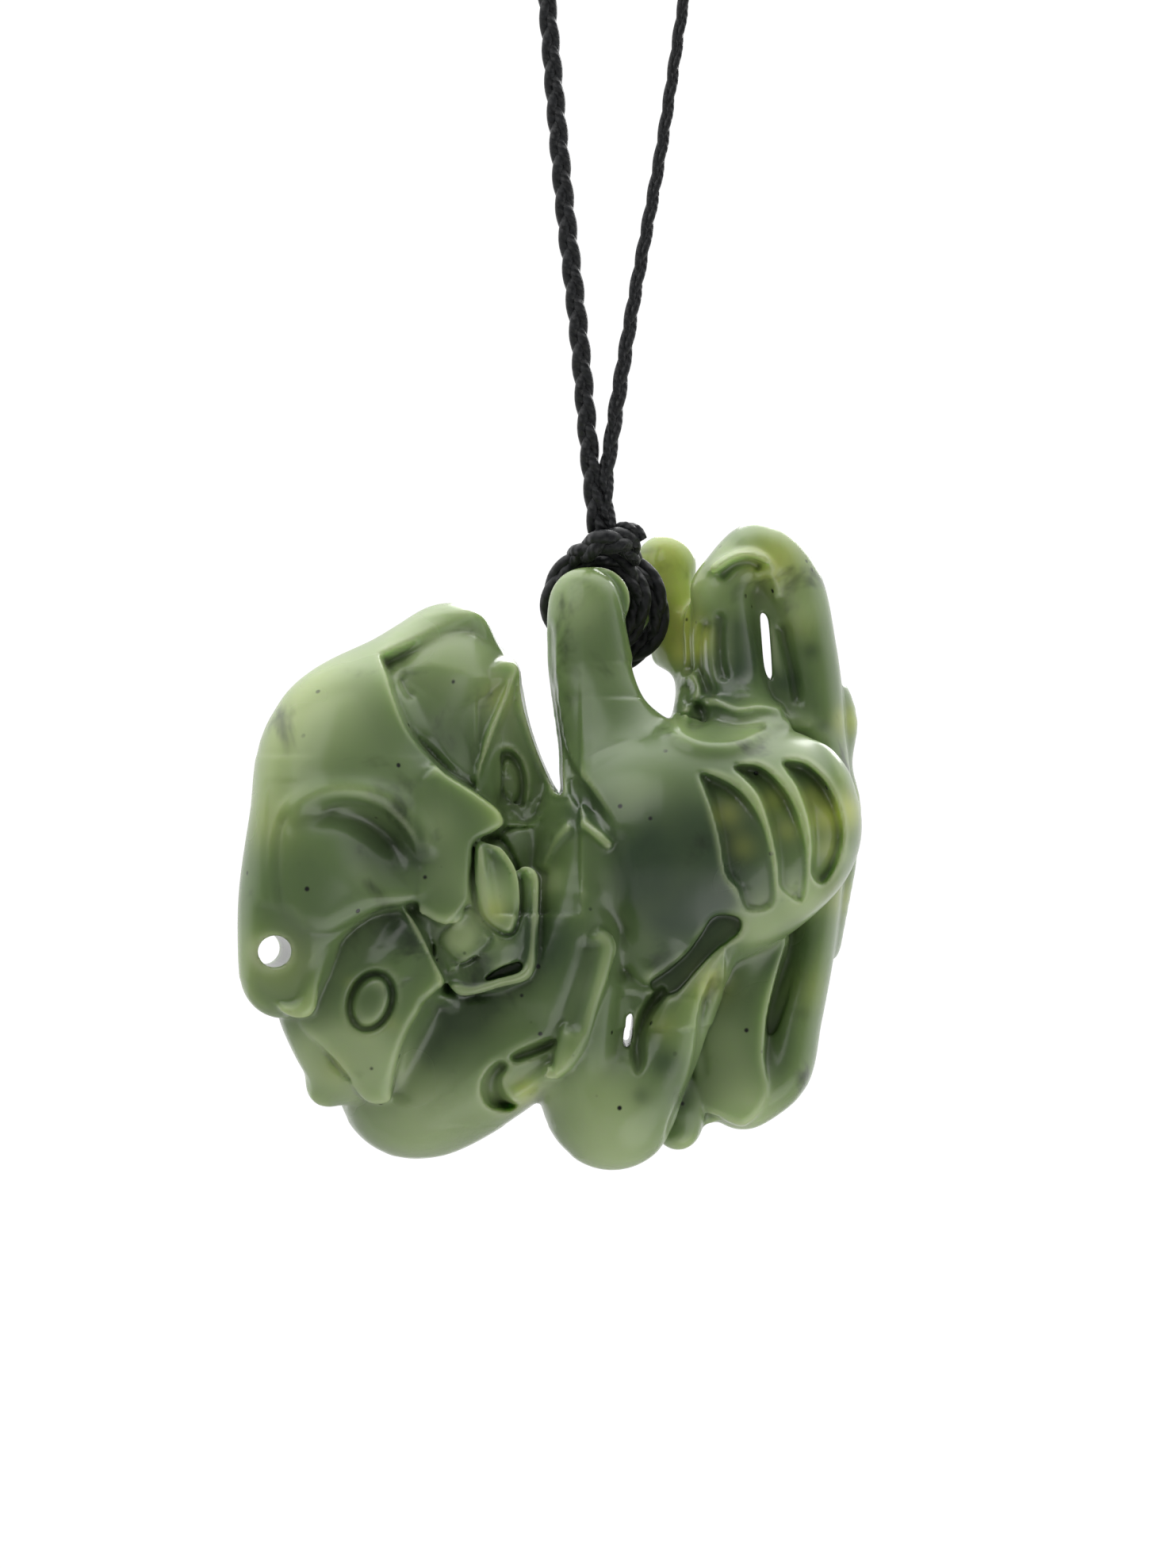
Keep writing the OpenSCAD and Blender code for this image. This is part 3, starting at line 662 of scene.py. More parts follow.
# Layers of the carving, each with its outline as seen from the front, in mm. An added one has the point that
# its depth is given at, the depth, the rounding of its edge, its blend, its thickness, and then its slopes and
# its bends along u and v, where it has any. A cut has its depth and its blend. A softened area has the reach
# of the blur and the width over which that fades in.
LAYERS = [
    ("soften", [(-25.8, 3.5), (-23.2, 7.6), (-17.6, 9.1), (-13.9, 3.5), (-9.5, -1.5), (-10.8, -7.1),
     (-13.6, -9), (-17.6, -10.2), (-21.4, -13.4), (-25.1, -14.9)], 1.6, 2),
    # side of the snout under the bowl of the near eye socket
    ("add", [(-24.2, -3.7), (-22, -1.5), (-18.9, -0.6), (-16.1, -1.2), (-13.2, -4), (-12.9, -7.1),
     (-13.1, -9.1), (-14.5, -9.6), (-17, -10.2), (-20.8, -11.8), (-23.9, -10.2)], (-18.6, -5.6), -15.7, 1.5,
     1.5, 6, 0.3),
    # the throat between cheek, jaw and paw
    ("add", [(-12.9, -14), (-10.8, -14), (-9.5, -15.2), (-8.2, -17), (-4, -14.9), (-2.9, -19.3),
     (-7, -20.9), (-9.5, -22.8), (-12.3, -25.2), (-14.5, -25.9), (-15.8, -24), (-14.5, -20.9),
     (-13.2, -18.1)], (-10.5, -19.5), -8.6, 2, 1.5, 10, -0.02),
    # near cheek, with the eye
    ("add", [(-15, -9), (-13.6, -11.5), (-12.1, -13.8), (-11.2, -15.4), (-11.8, -16.3), (-13.6, -19.2),
     (-14.6, -21.2), (-15, -22.8), (-15.2, -24.5), (-16.2, -25.2), (-17.6, -24.9), (-19.3, -22.8),
     (-20.8, -20.9), (-22.6, -19.3), (-23.2, -17.1), (-22.9, -14.6), (-21.4, -11.5), (-18.6, -9)],
     (-17, -17), -13.2, 0.8, 0.25, 7, 0.05, -0.03, 0.012, 0.026),
    ("soften", [(-12.9, -16.5), (-5.1, -15.9), (-3.2, -19.3), (-7, -21.2), (-10.8, -24.3), (-13.9, -25.9),
     (-15.1, -23.4), (-13.6, -19.3)], 1.4, 1.5),
    ("soften", [(-11.4, -15.9), (-9.5, -16.8), (-12, -20.6), (-13.6, -25.2), (-15.6, -24.9), (-15.4, -22.1),
     (-14.4, -19), (-12.6, -16.7)], 1.5, 0.9),
    # flap at the corner of the jaw
    ("add", [(-24.1, -18.4), (-21.8, -18.1), (-20.6, -20.6), (-19.2, -22.5), (-18.4, -23.8), (-18.6, -24.3),
     (-21.1, -24.2), (-22.2, -22.4), (-23.2, -20.7)], (-21.5, -22), -10.2, 1, 0.3, 6, 0, 0, 0, 0.02),
    # lower end of the snout, which laps over the cheek
    ("add", [(-14.5, -9.1), (-16.7, -9.8), (-18.1, -10.7), (-19.2, -11.8), (-20.3, -13.5), (-21.1, -15.6),
     (-21.5, -17.7), (-22.3, -18.4), (-23.7, -18.2), (-25.1, -16.8), (-25.1, -13.4), (-23.6, -10.2),
     (-20.8, -8.7), (-17, -8.2)], (-22.5, -12.5), -15.7, 0.6, 0.25, 6, 0.22, 0.02, 0.07),
    ("soften", [(-26.8, -9.6), (-23.6, -9.6), (-21.8, -12.8), (-22, -16.2), (-23.1, -17.8), (-25.1, -17.6),
     (-26.7, -15.9)], 1.2, 0.8),
    # dark plane behind the leaf
    ("add", [(-7, -3.1), (-4.5, -2.6), (-2.5, -1.3), (-1.8, -4), (-3.1, -7.1), (-3.7, -9), (-5.4, -6.5),
     (-6.4, -4.6)], (-4.2, -5), -5.6, 0.5, 1.2, 5, 0.1),
    # face facet below the bridge, the bracket of the jaw, and the leaf over both
    ("add", [(-13.2, -10.5), (-10.8, -10.2), (-8.9, -10.2), (-7.5, -12.3), (-8.2, -13.4), (-10, -14.5),
     (-11.1, -15.6), (-12.2, -13.7)], (-10, -12.2), -12, 0.3, 0.2, 6, -0.05, 0.02),
    ("add", [(-6.2, -7.1), (-5.4, -6.4), (-4.6, -6.4), (-3.9, -7.2), (-3.9, -9.5), (-4, -10.9), (-4.4, -15),
     (-7, -15.9), (-9.7, -16.7), (-10.8, -16.2), (-11.6, -15.3), (-11.4, -13.7), (-10.1, -13.5),
     (-8.2, -12.4), (-7.3, -11.5), (-6.5, -10.6), (-6.4, -9)], (-7.6, -14.3), -11.3, 0.4, 0.2, 6, 0.12,
     0.04),
    ("add", [(-8.8, -4.5), (-7.6, -4.4), (-6.6, -4.9), (-5.5, -6.6), (-5.2, -8.6), (-5.3, -10.7),
     (-5.7, -12.1), (-6.8, -12), (-8.2, -10.5), (-8.9, -8.4), (-9.2, -6.3)], (-7.3, -8.2), -12.6, 0.7, 0.15,
     6, 0.14, 0.02, 0.05, 0.01),
    # far side of the face, and the plane with the far eye
    ("soften", [(-16.1, 10.2), (-14.2, 12.6), (-11.4, 13.5), (-8.2, 13.2), (-5.1, 10.1), (-6.4, 7.2),
     (-7.6, 4.1), (-8.2, 1), (-8.6, -1.2), (-11.4, 0.4), (-13.6, 3.5), (-15.3, 7.2)], 2.4, 1.5),
    ("add", [(-7.5, 9.1), (-5.4, 9.3), (-4.8, 6.3), (-3.7, 3.2), (-2.3, 0.1), (-3.1, -0.9), (-4.2, -2.8),
     (-5.1, -5.6), (-6.2, -4), (-7, -2.8), (-8.9, -0.6), (-8.2, 2.2)], (-6.1, 1.6), -5, 0.3, 0.8, 5, 0.38,
     -0.03),
    # bridge of the nose, which ends in a tongue over the facet
    ("add", [(-13.2, -5.9), (-13.6, -9.8), (-12.8, -10.6), (-11.1, -11.2), (-10, -10.7), (-9.4, -9),
     (-9.2, -6.2), (-8.9, -4.6), (-7.9, -4), (-6.6, -3.2), (-6.7, -2.7), (-7.1, -1.9), (-8.8, -0.6),
     (-11, 0.8), (-12.3, 1.3), (-13.6, -0.9)], (-10.6, -6.4), -13.1, 0.6, 0.8, 6, 0.28, 0.05, 0.02),
    # hip between belly and thigh
    ("add", [(2.1, -13.4), (4.6, -15.9), (6.4, -14.8), (7.7, -13.1), (6.1, -10.9), (3, -10.9)], (4.5, -13),
     -7, 1.5, 2, 5, 0, 0.08),
    # finger of the near paw
    ("add", [(0.6, -11.3), (1.8, -11.6), (2.4, -12.8), (2.1, -14.1), (1, -17.2), (0, -20.5), (-1.2, -22.4),
     (-2.4, -23.1), (-2.8, -22.3), (-2.2, -18.8), (-1.4, -15.7), (-0.6, -12.6)], (-0.2, -16), -10.1, 1, 0.3,
     6, 0.05, 0.03, 0.02),
    # rear leg
    ("add", [(11.1, -13.4), (13.6, -12.8), (15.6, -12.2), (14.8, -15.5), (14.1, -18.4), (13.9, -21.6),
     (14.2, -24.7), (12.4, -26.9), (10.3, -26.2), (9, -25.4), (8.2, -22), (8.6, -19.1), (9.6, -15.9)],
     (11.3, -19.5), -0.8, 0.5, 0.3, 6, 0.02, 0, 0.03, 0.006),
    # lip over the top of the haunch
    ("add", [(9.8, 16.8), (10.3, 17.5), (11.4, 18.2), (12.4, 18.4), (13.7, 18), (13.8, 17.7), (12.4, 17.8),
     (11.4, 17.5), (10.6, 16.9)], (10.5, 17.8), 0.3, 0.4, 0.2, 3),
    # web between haunch and tail band, and the webs behind the thigh
    ("add", [(13.2, 15.4), (14.6, 15.2), (16.1, 13.5), (16.9, 8.5), (17.1, 5.1), (14.6, 5.7), (13.2, 7.9),
     (12.7, 11.6)], (14.3, 10), 3.3, 0, 0.6, 3),
    ("add", [(7.1, -21.5), (9.6, -22.1), (10.5, -25.9), (8.9, -26.8), (6.9, -25.9)], (8.5, -24), 1.5, 0,
     0.6, 4),
    # lower lobe of the paw behind the tie, and the web from it to the haunch
    ("add", [(5.2, 10.3), (5.9, 12.9), (6.9, 14.3), (8, 13.6), (8.8, 11.9), (9.1, 10.3), (8.5, 9),
     (6.7, 8.9)], (7.3, 12), 7.8, 1.3, 0.8, 2.8, 0, 0, 0.03, 0.03),
    ("add", [(7.7, 13.5), (10.2, 13.8), (10.5, 7.9), (8.9, 6.9), (8, 8.5)], (9, 12), 5.6, 0, 1, 5),
    # open wedge between face and raised limb, and the opening under the raised limb
    ("cut", [(-5.8, 11.9), (-5.2, 8.7), (-4.7, 5.5), (-3.8, 2.6), (-2.3, -0.6), (-2.3, 1), (-2.4, 3),
     (-2.8, 6), (-3.3, 9.3), (-3.7, 11.9)], 30, 0.4),
    ("cut", [(3.5, 9.6), (4.9, 9.5), (6.5, 8.7), (6.9, 7.4), (6.6, 5.4), (6.2, 5.2), (4.7, 6.4),
     (3.9, 7.8)], 30, 0.4),
    # hollows
    ("cut", [(13.6, 13.5), (14.1, 13.2), (14.3, 11.9), (14.5, 8.4), (14.2, 8.4), (13.9, 9.3), (13.7, 11.4)],
     30, 0.15),
    ("cut", [(-8.2, -15.5), (-7, -14.5), (-5.4, -14), (-5.1, -14.3), (-5.3, -14.9), (-6.7, -15.3)], -9.9,
     0.15),
    ("cut", [(12, -10.7), (11, -10.3), (9.8, -10.5), (8.9, -11.8), (7.7, -13.4), (6.2, -14.7), (4.9, -15.7),
     (5.8, -16.5), (7, -16.4), (8.5, -14.8), (10, -13.2), (11.8, -11.8)], -5.6, 0.5),
    ("cut", [(15.6, -12.8), (16, -13.2), (15.8, -16.5), (15.2, -18.6), (14.7, -19.6), (14.2, -19.7),
     (14.2, -18.4), (14.8, -15.5)], 2.9, 0.3),
]


def stamp(field, kind, outline, *how):
    """Adds a layer to the field, cuts a hollow down to a depth, or softens the field inside the outline."""
    area = Area(closed_spline(outline, 0.3), True, STAMP_MARGIN)
    lo, hi = area.lo * SPREAD - SPREAD_MARGIN, area.hi * SPREAD + SPREAD_MARGIN
    box = cells([lo[0], GRID_LO[1], lo[1]], [hi[0], GRID_HI[1], hi[1]])
    x, y, z = coordinates(box)
    scale = VIEW_MM / (VIEW_MM + y)
    u, v = x * scale + 0 * z, z * scale + 0 * x
    ok, got = area.read((area.side * area.distance).astype(np.float32), u, v)
    inner = np.full(u.shape, -STAMP_MARGIN)
    inner[ok] = got
    if kind == "soften":
        reach, fade = how
        field[box] += np.clip(inner / fade, 0, 1) * (box_blur(field[box], reach) - field[box])
    elif kind == "cut":
        depth, blend = how
        field[box] = soft_cut(field[box], np.maximum(-inner, y - depth).astype(np.float32), blend)
    else:
        at, depth, edge, blend, thick, *rest = how
        slope_u, slope_v, bend_u, bend_v = rest + [0] * (4 - len(rest))
        du, dv = u - at[0], v - at[1]
        front = depth + slope_u * du + slope_v * dv + bend_u * du * du + bend_v * dv * dv
        if edge:
            e = np.clip(1 - inner / edge, 0, 1)
            front = front + edge * (1 - np.sqrt(np.maximum(1 - e * e, 0)))
        layer = np.maximum(np.maximum(-inner, front - y), y - front - thick).astype(np.float32)
        field[box] = soft_min(field[box], layer, blend)


class Stroke:
    """One carved mark. kind is groove, step or pool. amount is in mm, positive cuts into the stone."""

    def __init__(self, kind, amount, width, back, line, taper=0.12, side=1, closed=False, fade=None):
        closed = closed or kind == "pool"
        line = LINES[line] if isinstance(line, str) else line
        self.back = back
        self.area = Area(closed_spline(line, 0.4) if closed else spline(line, 0.4), closed, STROKE_MARGIN)
        d, s, along = self.area.distance, self.area.side, self.area.along
        if kind == "groove":
            value = amount * np.exp(-((d / width) ** 2))
        elif kind == "step":
            value = amount * np.clip(0.5 + s * side * d / STEP_EDGE, 0, 1) * np.exp(-d / width)
        else:
            value = amount * (1 - (1 - np.clip(s * d / width, 0, 1)) ** 2)
        if not closed:
            value = value * eased(np.minimum(along, 1 - along) / taper)
        if fade:
            start, end, least = np.array(fade[0]), np.array(fade[1]), fade[2]
            way = end - start
            t = ((self.area.u - start[0]) * way[0] + (self.area.v - start[1]) * way[1]) / way.dot(way)
            value = value * (1 - eased(t) * (1 - least))
        self.value = value.astype(np.float32)

    def add_to(self, total, u, v, y, facing):
        ok, got = self.area.read(self.value, u, v)
        window = np.clip((self.back - y[ok]) / WINDOW + 1, 0, 1)
        total[ok] += got * window * facing[ok]


def ellipse(u, v, half_wide, half_high, lean):
    a = np.linspace(0, 2 * math.pi, 28, endpoint=False)
    c, s = math.cos(math.radians(lean)), math.sin(math.radians(lean))
    x1, y1 = half_wide * np.cos(a), half_high * np.sin(a)
    return [(u + c * p + s * q, v - s * p + c * q) for p, q in zip(x1, y1)]


# kind, amount, width, farthest y that it marks, and the line: a name in LINES or the points themselves
MARKS = [
    Stroke("pool", 1.3, 3, -6, [(-22.2, -3.2), (-21.1, -2), (-19.7, -1.4), (-17.9, -1.3), (-16.1, -2.1),
        (-14.5, -3.7), (-13.5, -5.6), (-13.1, -7.3), (-13.3, -8.8), (-14, -9.2), (-16.4, -9.2),
        (-19.2, -7.8), (-21.7, -5.6)], fade=((-15.5, -3), (-20.3, -8.2), 0)),
    Stroke("groove", -0.5, 0.9, -5, "brow_rim"),
    Stroke("groove", 0.35, 0.4, -5, [(-21.1, -2.3), (-19.5, -1.6), (-17.6, -1.7), (-16, -2.4),
        (-14.4, -4.1), (-13.6, -5.8), (-13.2, -7.1)]),
    Stroke("groove", 1.2, 1.1, -5, [(-23.2, -4.5), (-22.3, -3.1), (-21.1, -2.4), (-19.5, -2.3),
        (-17.5, -2.9), (-15.8, -4.2), (-14.6, -5.9), (-14.1, -7.4)], taper=0.3),
    Stroke("groove", -0.5, 0.28, -3, "cheek_line"),
    Stroke("step", 0.9, 1.2, -3, "cheek_line", side=1),
    Stroke("pool", 0.4, 0.5, 0, "flap_slit"),
    Stroke("step", 1.9, 3.6, 3, "far_edge", side=1, taper=0.06),
    Stroke("pool", 0.6, 3, 4, "far_bowl"),
    Stroke("groove", 0.35, 0.3, 4, "far_crease"),
    Stroke("groove", -0.5, 0.4, 5, "far_ridge"),
    Stroke("step", 0.9, 2, 5, "far_ridge", side=1),
    Stroke("groove", 0.55, 0.22, -2, "leaf", closed=True),
    Stroke("groove", 0.3, 0.18, -2, "plate", closed=True),
    Stroke("groove", -0.35, 0.35, -2, "jaw_rim", taper=0.04),
    Stroke("groove", -0.6, 0.5, 3, "recess_rim"),
    Stroke("groove", 0.5, 1, 3, "neck_crease"),
    Stroke("pool", 1.5, 0.9, -2, "pit_a"),
    Stroke("pool", 1, 0.7, -2, "pit_b"),
    Stroke("groove", -0.7, 0.7, -2, "pit_bar"),
    Stroke("groove", 0.6, 0.8, 0, "finger_groove"),
    Stroke("pool", 1.3, 1.8, 2, "arm_wedge", fade=((0, 0.5), (1.6, -4), 0.3)),
    Stroke("step", 0.7, 1.6, 3, "arm_facet", side=-1),
    Stroke("groove", -0.7, 0.4, 2, "bright_bar"),
    Stroke("groove", 0.5, 1, 2, [(2.2, -3.2), (2.5, -8.1), (2.6, -12.8), (2.8, -16.2)]),
    Stroke("groove", -0.5, 0.8, 6, "torso_lip"),
    Stroke("pool", 1.5, 0.7, 3, [(8.8, 0.9), (10.5, 0.5), (12.2, -0.6), (13.7, -2.6), (14.5, -4.9),
        (14.8, -7.7), (14.5, -9.7), (12.5, -10), (11.7, -8.3), (10.8, -7.1), (10.3, -4.3), (9.7, -2),
        (9.1, -0.3)], fade=((10, -5), (14.6, -6), 0.35)),
    Stroke("pool", 1.6, 0.7, 4, [(11.4, 1.4), (13.4, 1.5), (15.1, 0.2), (16.5, -2), (17.3, -4.9),
        (17.3, -7.7), (16.8, -9.4), (15.1, -8.3), (14.8, -6), (14.2, -3.2), (13.4, -0.9), (12.2, 0.5)],
        fade=((14, -4), (17.4, -5.5), 0.35)),
    Stroke("pool", 1.6, 0.7, 6, [(15.3, 1.8), (17.1, 1.7), (18.8, 0.2), (19.9, -2), (20.2, -4.3),
        (19.6, -6.6), (18.5, -8), (17.5, -7.1), (17.6, -4.9), (17.3, -2.6), (16.5, -0.3), (15.7, 0.9)],
        fade=((16.5, -2), (19.8, -4), 0.5)),
    Stroke("pool", 1, 1.2, 2, "leg_trough"),
    Stroke("step", 0.8, 1.6, -1, "leg_step", side=1),
    Stroke("groove", 0.55, 0.45, 12, "band_groove"),
    Stroke("groove", -0.55, 0.4, 8, [(9.6, 16.3), (10, 17.1), (11.4, 17.9), (12.9, 18.2), (14.1, 17.6),
        (14.9, 16.4)]),
    Stroke("groove", 0.5, 0.4, 8, [(10.3, 16), (11.6, 17.2), (12.9, 17.4), (13.8, 16.8)]),
    Stroke("groove", 0.3, 0.3, 6, "rear_crease"),
    Stroke("groove", -0.45, 0.35, 8, [(13, 16.2), (14, 16.6), (14.7, 16), (14.9, 14.9), (14.5, 14.5)]),
    Stroke("groove", -0.6, 0.5, 9, [(7, 8.2), (8, 8.4), (8.7, 7.6), (8.2, 6.4), (7.2, 5.3)]),
    Stroke("groove", -0.5, 0.45, 5, [(8.7, 6.6), (10.3, 6.4), (11.8, 5.9), (13.7, 6.1), (15.8, 5.8)]),
    Stroke("groove", 0.5, 0.35, 6, [(7.4, 6.6), (8.2, 6.3), (9.2, 5.4), (8.9, 4.8), (7.7, 4.6)]),
    Stroke("groove", 0.6, 0.45, 8, [(9.4, 13.2), (9, 11.6), (8.9, 9.8), (9.2, 7.9), (9.9, 6.8)]),
    Stroke("groove", 0.5, 0.4, 8, [(10.5, 13.8), (10.4, 11.6), (10.5, 9.4), (11, 7.9)]),
    Stroke("groove", 1, 0.27, -4, ellipse(-17.1, -17.15, 1.6, 2.25, 20), closed=True),
    Stroke("groove", 0.7, 0.34, 5, ellipse(-6.2, 0.2, 1, 2.1, -6), closed=True),
    Stroke("groove", -0.25, 0.22, 5, ellipse(-6.2, 0.2, 1.45, 2.75, -6), closed=True),
]
for layer in LAYERS:
    stamp(field, *layer)
band = np.flatnonzero(np.abs(field.ravel()) < CARVED_BAND)
ix, iy, iz = np.unravel_index(band, SHAPE)
facing = -np.gradient(field, VOXEL, axis=1).ravel()[band]
facing = np.clip(facing / 0.35 + 0.3, 0, 1).astype(np.float32)
by = AXES[1][iy].astype(np.float32)
shrink = (VIEW_MM / (VIEW_MM + by)).astype(np.float32)
bu = AXES[0][ix].astype(np.float32) * shrink
bv = AXES[2][iz].astype(np.float32) * shrink
total = np.zeros(band.shape, np.float32)
for mark in MARKS:
    mark.add_to(total, bu, bv, by, facing)
flat = field.ravel()
flat[band] += total
field = flat.reshape(SHAPE)

# -- holes right through ----------------------------------------------------
SNOUT_HOLE = np.array([-24.0, -13.0, -12.5])
SNOUT_HOLE_LEAN = math.radians(12)
SNOUT_HOLE_R = 1.2
SNOUT_HOLE_REACH = 7.0
hole_way = np.array([math.sin(SNOUT_HOLE_LEAN), -math.cos(SNOUT_HOLE_LEAN), 0])
rx, ry, rz = x - SNOUT_HOLE[0], y - SNOUT_HOLE[1], z - SNOUT_HOLE[2]
along = rx * hole_way[0] + ry * hole_way[1]
off = np.sqrt(np.maximum((rx - along * hole_way[0]) ** 2 + (ry - along * hole_way[1]) ** 2 + rz**2, 0))
hole = np.where(np.abs(along) < SNOUT_HOLE_REACH, SNOUT_HOLE_R - off, -FAR)
field = np.maximum(field, hole.astype(np.float32))
slit = empty()
add_route(slit, [[3.25, -3, -18.0, 0.25, 9], [3.0, -3, -20.0, 0.3, 9]], 0.3)
field = soft_cut(field, slit, 0.2)

# -- surface ----------------------------------------------------------------
volume = openvdb.FloatGrid(FAR)
volume.copyFromArray(np.ascontiguousarray(field, dtype=np.float32))
verts, quads = volume.convertToQuads()
verts = np.asarray(verts, float)
faces = np.asarray(quads, int)[:, ::-1]


def sample(a, at):
    """The grid's values at places between its points."""
    i = np.clip(at.astype(int), 0, np.array(a.shape) - 2)
    f = np.clip(at - i, 0, 1)
    out = 0
    for corner in np.ndindex(2, 2, 2):
        w = np.prod(np.where(corner, f, 1 - f), axis=1)
        out = out + w * a[tuple((i + corner).T)]
    return out


solid = np.clip(0.5 - field / VOXEL, 0, 1)
around = sample(box_blur(solid, 1.9), verts)
close = sample(box_blur(solid, 0.55), verts)
# How little stone lies round each point; the colour paints light shining through where there is little.
thin = np.clip((0.47 - around) / 0.38, 0, 1)
thin = eased(thin) * 0.6 + thin * 0.4
# High in creases and recesses, where the colour paints shade.
hollow = np.clip((close - 0.56) / 0.22, 0, 1)
# High on ridges and rims, where the colour paints a highlight.
edge = np.clip((0.45 - close) / 0.16, 0, 1)

# Patches of painted light and of stone tone as they lie seen from the front: u, v, reach and strength. The
# first list holds painted highlights with paler stone, the second painted shade with darker stone, the third
# painted glow of light shining through thin stone.
PALE_AND_HIGHLIGHT = [
    (6.4, 17.8, 1.6, 0.4), (7, 14, 1.6, 0.4), (8, 11.4, 1.4, 0.6), (-10, -12.3, 1.3, 0.4),
    (17, 13.5, 1.6, 0.4), (-6, 0.5, 1.6, 0.4), (-7, 3.5, 1.6, 0.3), (-17.5, -7, 1.8, 0.35),
    (-12, -3, 2, 0.35), (-22, 8, 6, 0.9), (-26, 0, 4, 0.5), (-13, 13, 4.5, 0.9), (-8, 9, 3.5, 0.5),
    (-21, -21.5, 3, 1), (-17.5, -21.5, 3, 0.8), (-11, -7, 3, 0.3), (-7.5, -9, 2, 0.7), (-13, -27, 5, 0.8),
    (-7, -25, 3, 0.4), (1, -24, 4, 0.5), (2, -29, 4, 0.8), (0, -16, 2, 0.3), (10.5, -20, 3, 0.5),
    (12, -26, 3.5, 0.9), (15, 17, 4, 0.5), (8.8, 15.3, 1.4, 1), (10.8, 18, 1.2, 0.8), (-1, 14, 2.5, 0.7),
    (-1, 8, 3, 0.2), (-4, -24, 2, 0.4), (-6, 6, 2, 0.4), (13.5, -11.3, 2.2, 0.9), (17, -9.3, 2, 0.9),
    (20, -5.5, 1.2, 0.5), (12.5, 4.3, 2.5, 0.6), (17, 3.6, 2, 0.6), (3.5, -0.5, 2.5, 0.4),
    (7.8, 4.4, 2, 0.4), (-3.2, -7.5, 1.4, 0.8), (-10, -12, 1.3, 0.8),
]
# Painted shade, on the shadow side of parts and under them, along with darker stone.
DARK_AND_SHADE = [
    (3, 6, 2.2, 0.3), (-13.5, -5.2, 1.6, 0.5), (-9, -19, 3, 0.3), (-4.5, -11, 2, 0.3), (6, -9, 3, 0.3),
    (18, 9, 2.5, 0.25), (17.4, -12, 2.5, 0.25), (-15.9, -16.3, 0.6, 0.5), (-18.2, -18.6, 0.5, 0.35),
    (17.6, 10.5, 0.8, 0.5), (18.6, 4.5, 0.7, 0.6), (15.6, 14.5, 0.7, 0.3), (17, -18, 0.8, 0.4),
    (12, -16, 1, 0.3), (4.2, -24.6, 0.9, 0.5), (9, -5, 5.5, 1), (4.5, -7, 3.5, 0.6), (8.5, -10, 3.5, 0.6),
    (-15.9, -4.6, 3, 0.95), (-22, -12, 3.5, 0.35), (-3, -13, 4, 0.7), (-4.2, -5, 1.8, 0.4),
    (-0.5, -2, 2.2, 0.7), (-12, 4, 2.6, 0.4), (-10, -18, 2, 0.8), (-12, -21, 2, 0.5),
    (-15, -11.5, 2.2, 0.8), (-8, -16.5, 2.5, 0.5), (11.3, 10, 2.6, 1), (10, 6, 2.2, 0.7),
    (6, -14.5, 1.6, 0.5), (6.2, -22, 1.6, 0.7), (7.5, -25, 1.4, 0.6), (14.5, -14, 1.6, 0.5),
    (12.5, 2.5, 1.5, 0.3), (-2.4, 4, 1.4, 0.6), (11.3, 11.5, 2.4, 0.6), (0, -20, 3, 0.25),
    (15.8, 8, 1.2, 0.6), (-17, -17.2, 1.9, 0.35),
]
# Painted glow, as of light shining through thin stone.
GLOW = [
    (8.2, 11.4, 1.3, 0.7), (-22.5, 9, 4, 0.3), (-25.5, -3, 3, 0.3), (10, -16, 2.5, 0.25),
    (-15.4, -19, 0.9, 0.25), (-18.9, -15.6, 0.7, 0.2), (11, -2.2, 1.4, 0.4), (12.2, -5, 1.4, 0.3),
    (14.6, -1.2, 1.3, 0.4), (15.8, -3.6, 1.2, 0.4), (17.6, -0.8, 1.2, 0.35), (18.5, -2.8, 1.2, 0.35),
    (18.8, -5.2, 1.2, 0.35), (6.2, 17.6, 2.4, 1), (6.6, 14.5, 1.8, 0.8), (7.2, 11.4, 2.2, 0.9),
    (20.6, 5, 1.5, 0.6), (20.6, -2, 2, 0.6), (20.2, -9, 2, 0.4), (14.5, 17.5, 2.6, 0.6),
    (16.6, 12.5, 2, 0.25), (-7.4, -10, 1.4, 0.4), (-5, -24.3, 1.3, 0.6), (-7, 7, 1.8, 0.4),
    (-24.5, 3, 4, 0.25), (-24, -14, 3, 0.25), (5.8, -19, 1.5, 0.3), (9.5, -15.5, 1.3, 0.3),
    (17.5, -16, 2.5, 0.25), (-20, -22.5, 1.5, 0.3),
]


def tone_and_light_patches(at, blobs):
    total = np.zeros(len(at))
    for u, v, reach, strength in blobs:
        total += strength * np.exp(-((at[:, 0] - u) ** 2 + (at[:, 1] - v) ** 2) / reach**2)
    return np.clip(total, 0, 1)


where = verts * VOXEL + GRID_LO
seen = where[:, [0, 2]] * (VIEW_MM / (VIEW_MM + where[:, 1]))[:, None]
stone = mesh_object("carved_stone", row(where), faces, JADE)
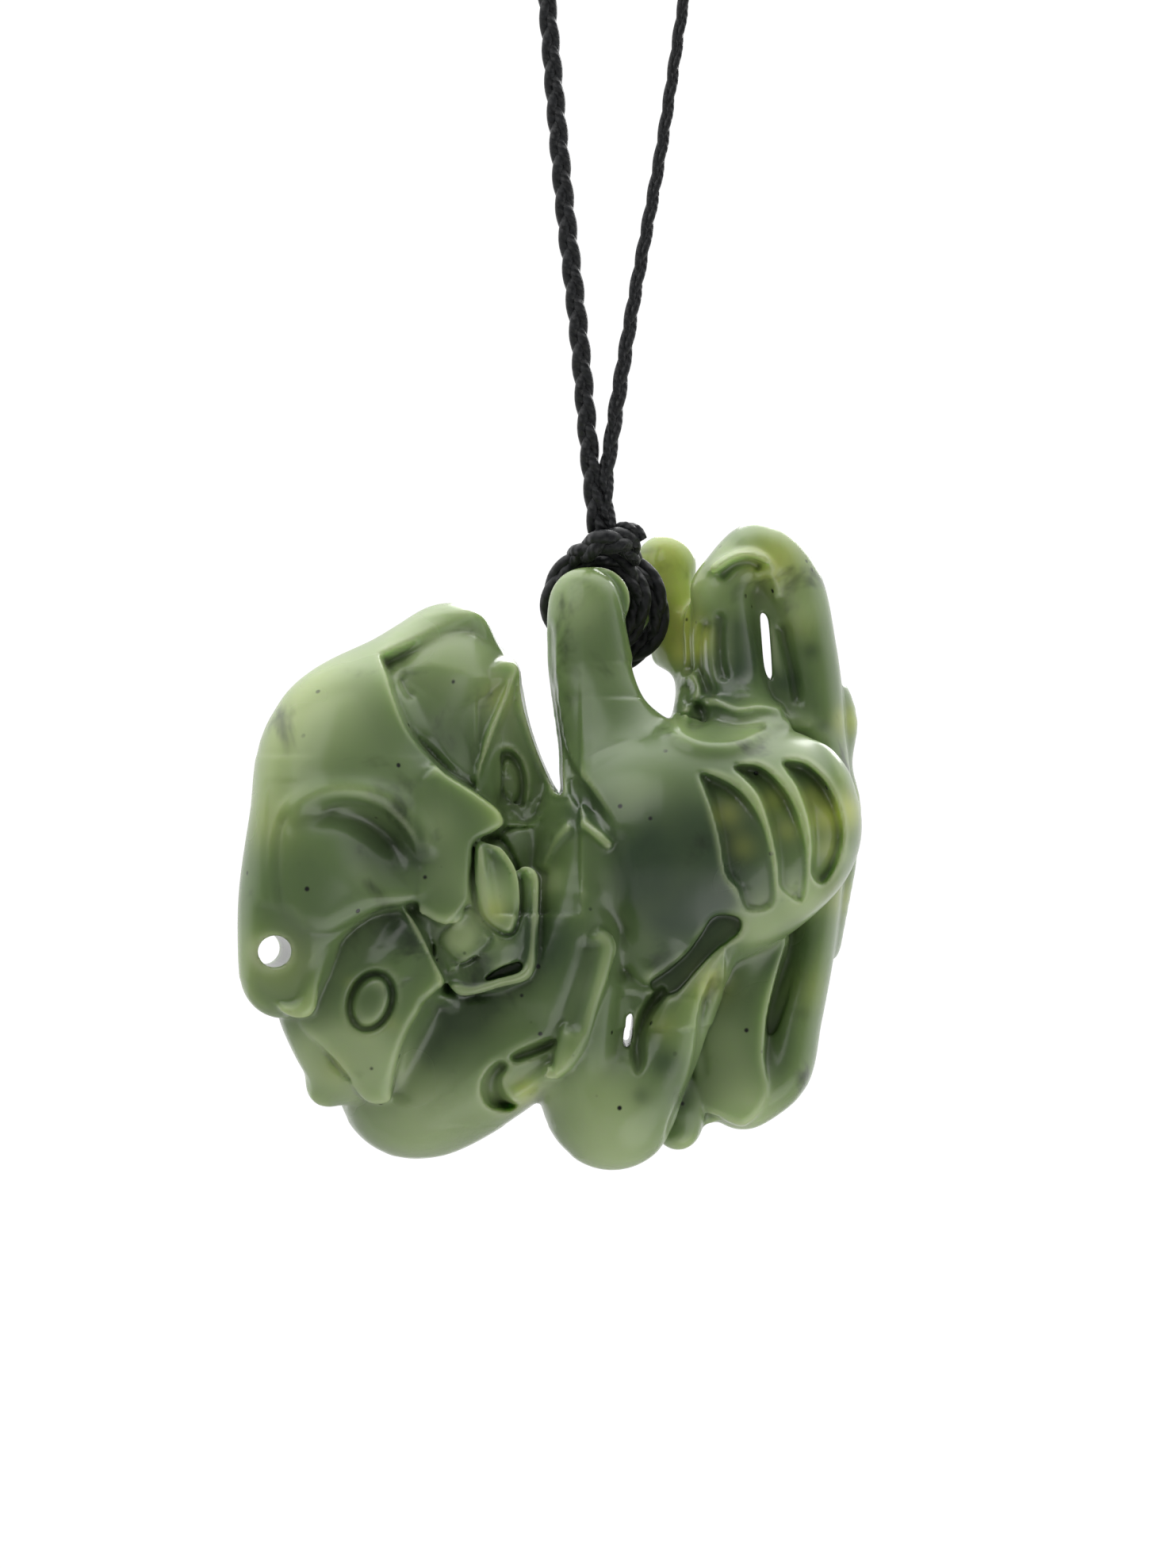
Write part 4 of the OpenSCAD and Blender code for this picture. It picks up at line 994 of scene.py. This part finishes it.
# The painted highlights, shade and glow, with the paler and darker stone, are strong only where the surface
# faces the front.
to_front = np.clip(0.35 - 1.3 * sample(np.gradient(field, VOXEL, axis=1), verts), 0, 1)
for label, values in (
    ("thin", thin),
    ("hollow", hollow),
    ("edge", edge),
    ("pale_and_highlight", tone_and_light_patches(seen, PALE_AND_HIGHLIGHT) * (0.35 + 0.65 * to_front)),
    ("dark_and_shade", tone_and_light_patches(seen, DARK_AND_SHADE) * to_front),
    ("glow", tone_and_light_patches(seen, GLOW) * to_front),
):
    layer = stone.data.attributes.new(label, "FLOAT", "POINT")
    layer.data.foreach_set("value", values.astype(np.float32))
smooth = stone.modifiers.new("polish", "SMOOTH")
smooth.factor = 0.5
smooth.iterations = 2
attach(stone, "stone")
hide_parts("jade_carving")


# ---------------------------------------------------------------- light and surroundings
bpy.context.scene.view_settings.view_transform = "Standard"
world = bpy.data.worlds.new("light_tent")
bpy.context.scene.world = world
world.use_nodes = True
tent = Look(world.node_tree, "Generated")
axes = tent.nodes.new("ShaderNodeSeparateXYZ")
tent.links.new(tent.coords, axes.inputs["Vector"])
# White behind, above and below the part, and a darker room behind the camera.
behind = tent.span(axes.outputs["Y"], -0.6, 0.3, 0.16, 1.0)
# Stronger light from the floor and from the top.
height = tent.span(axes.outputs["Z"], -1.0, 1.0, kind="LINEAR")
levels = [(0.0, 1.0), (0.14, 0.75), (0.3, 0.25), (0.7, 0.25), (0.88, 0.45), (1.0, 0.6)]
lift = tent.ramp(height, [(at, (level, level, level)) for at, level in levels])
background = tent.nodes["Background"]
tent.feed(background.inputs["Color"], tent.mixed("MULTIPLY", 1.0, behind, lift))
background.inputs["Strength"].default_value = 4.2


def area_light(name, at, size, power):
    data = bpy.data.lights.new(name, "AREA")
    data.shape = "DISK"
    data.size = size
    data.energy = power
    ob = bpy.data.objects.new(name, data)
    bpy.context.collection.objects.link(ob)
    ob.location = Vector(row(at))
    aim = Vector(row([0, 0, -5])) - ob.location
    ob.rotation_euler = aim.to_track_quat("-Z", "Y").to_euler()


area_light("key", [-130, -160, 170], 0.25, 0.17)
area_light("low_fill", [150, -90, -160], 0.25, 0.12)
area_light("rim", [60, 190, 120], 0.16, 0.3)

FLOOR_Z = -420.0
floor_material, look = new_material("floor")
mottle = [(0.3, (0.42, 0.42, 0.41)), (0.7, (0.45, 0.45, 0.44))]
finish_material(look, {"Base Color": look.ramp(look.noise(4.0, 3.0), mottle), "Roughness": 0.8})
bpy.ops.mesh.primitive_circle_add(
    vertices=96, radius=1.1, fill_type="NGON", location=Vector(row([0, 0, FLOOR_Z]))
)
floor = bpy.context.object
floor.name = "floor"
floor.data.materials.append(floor_material)

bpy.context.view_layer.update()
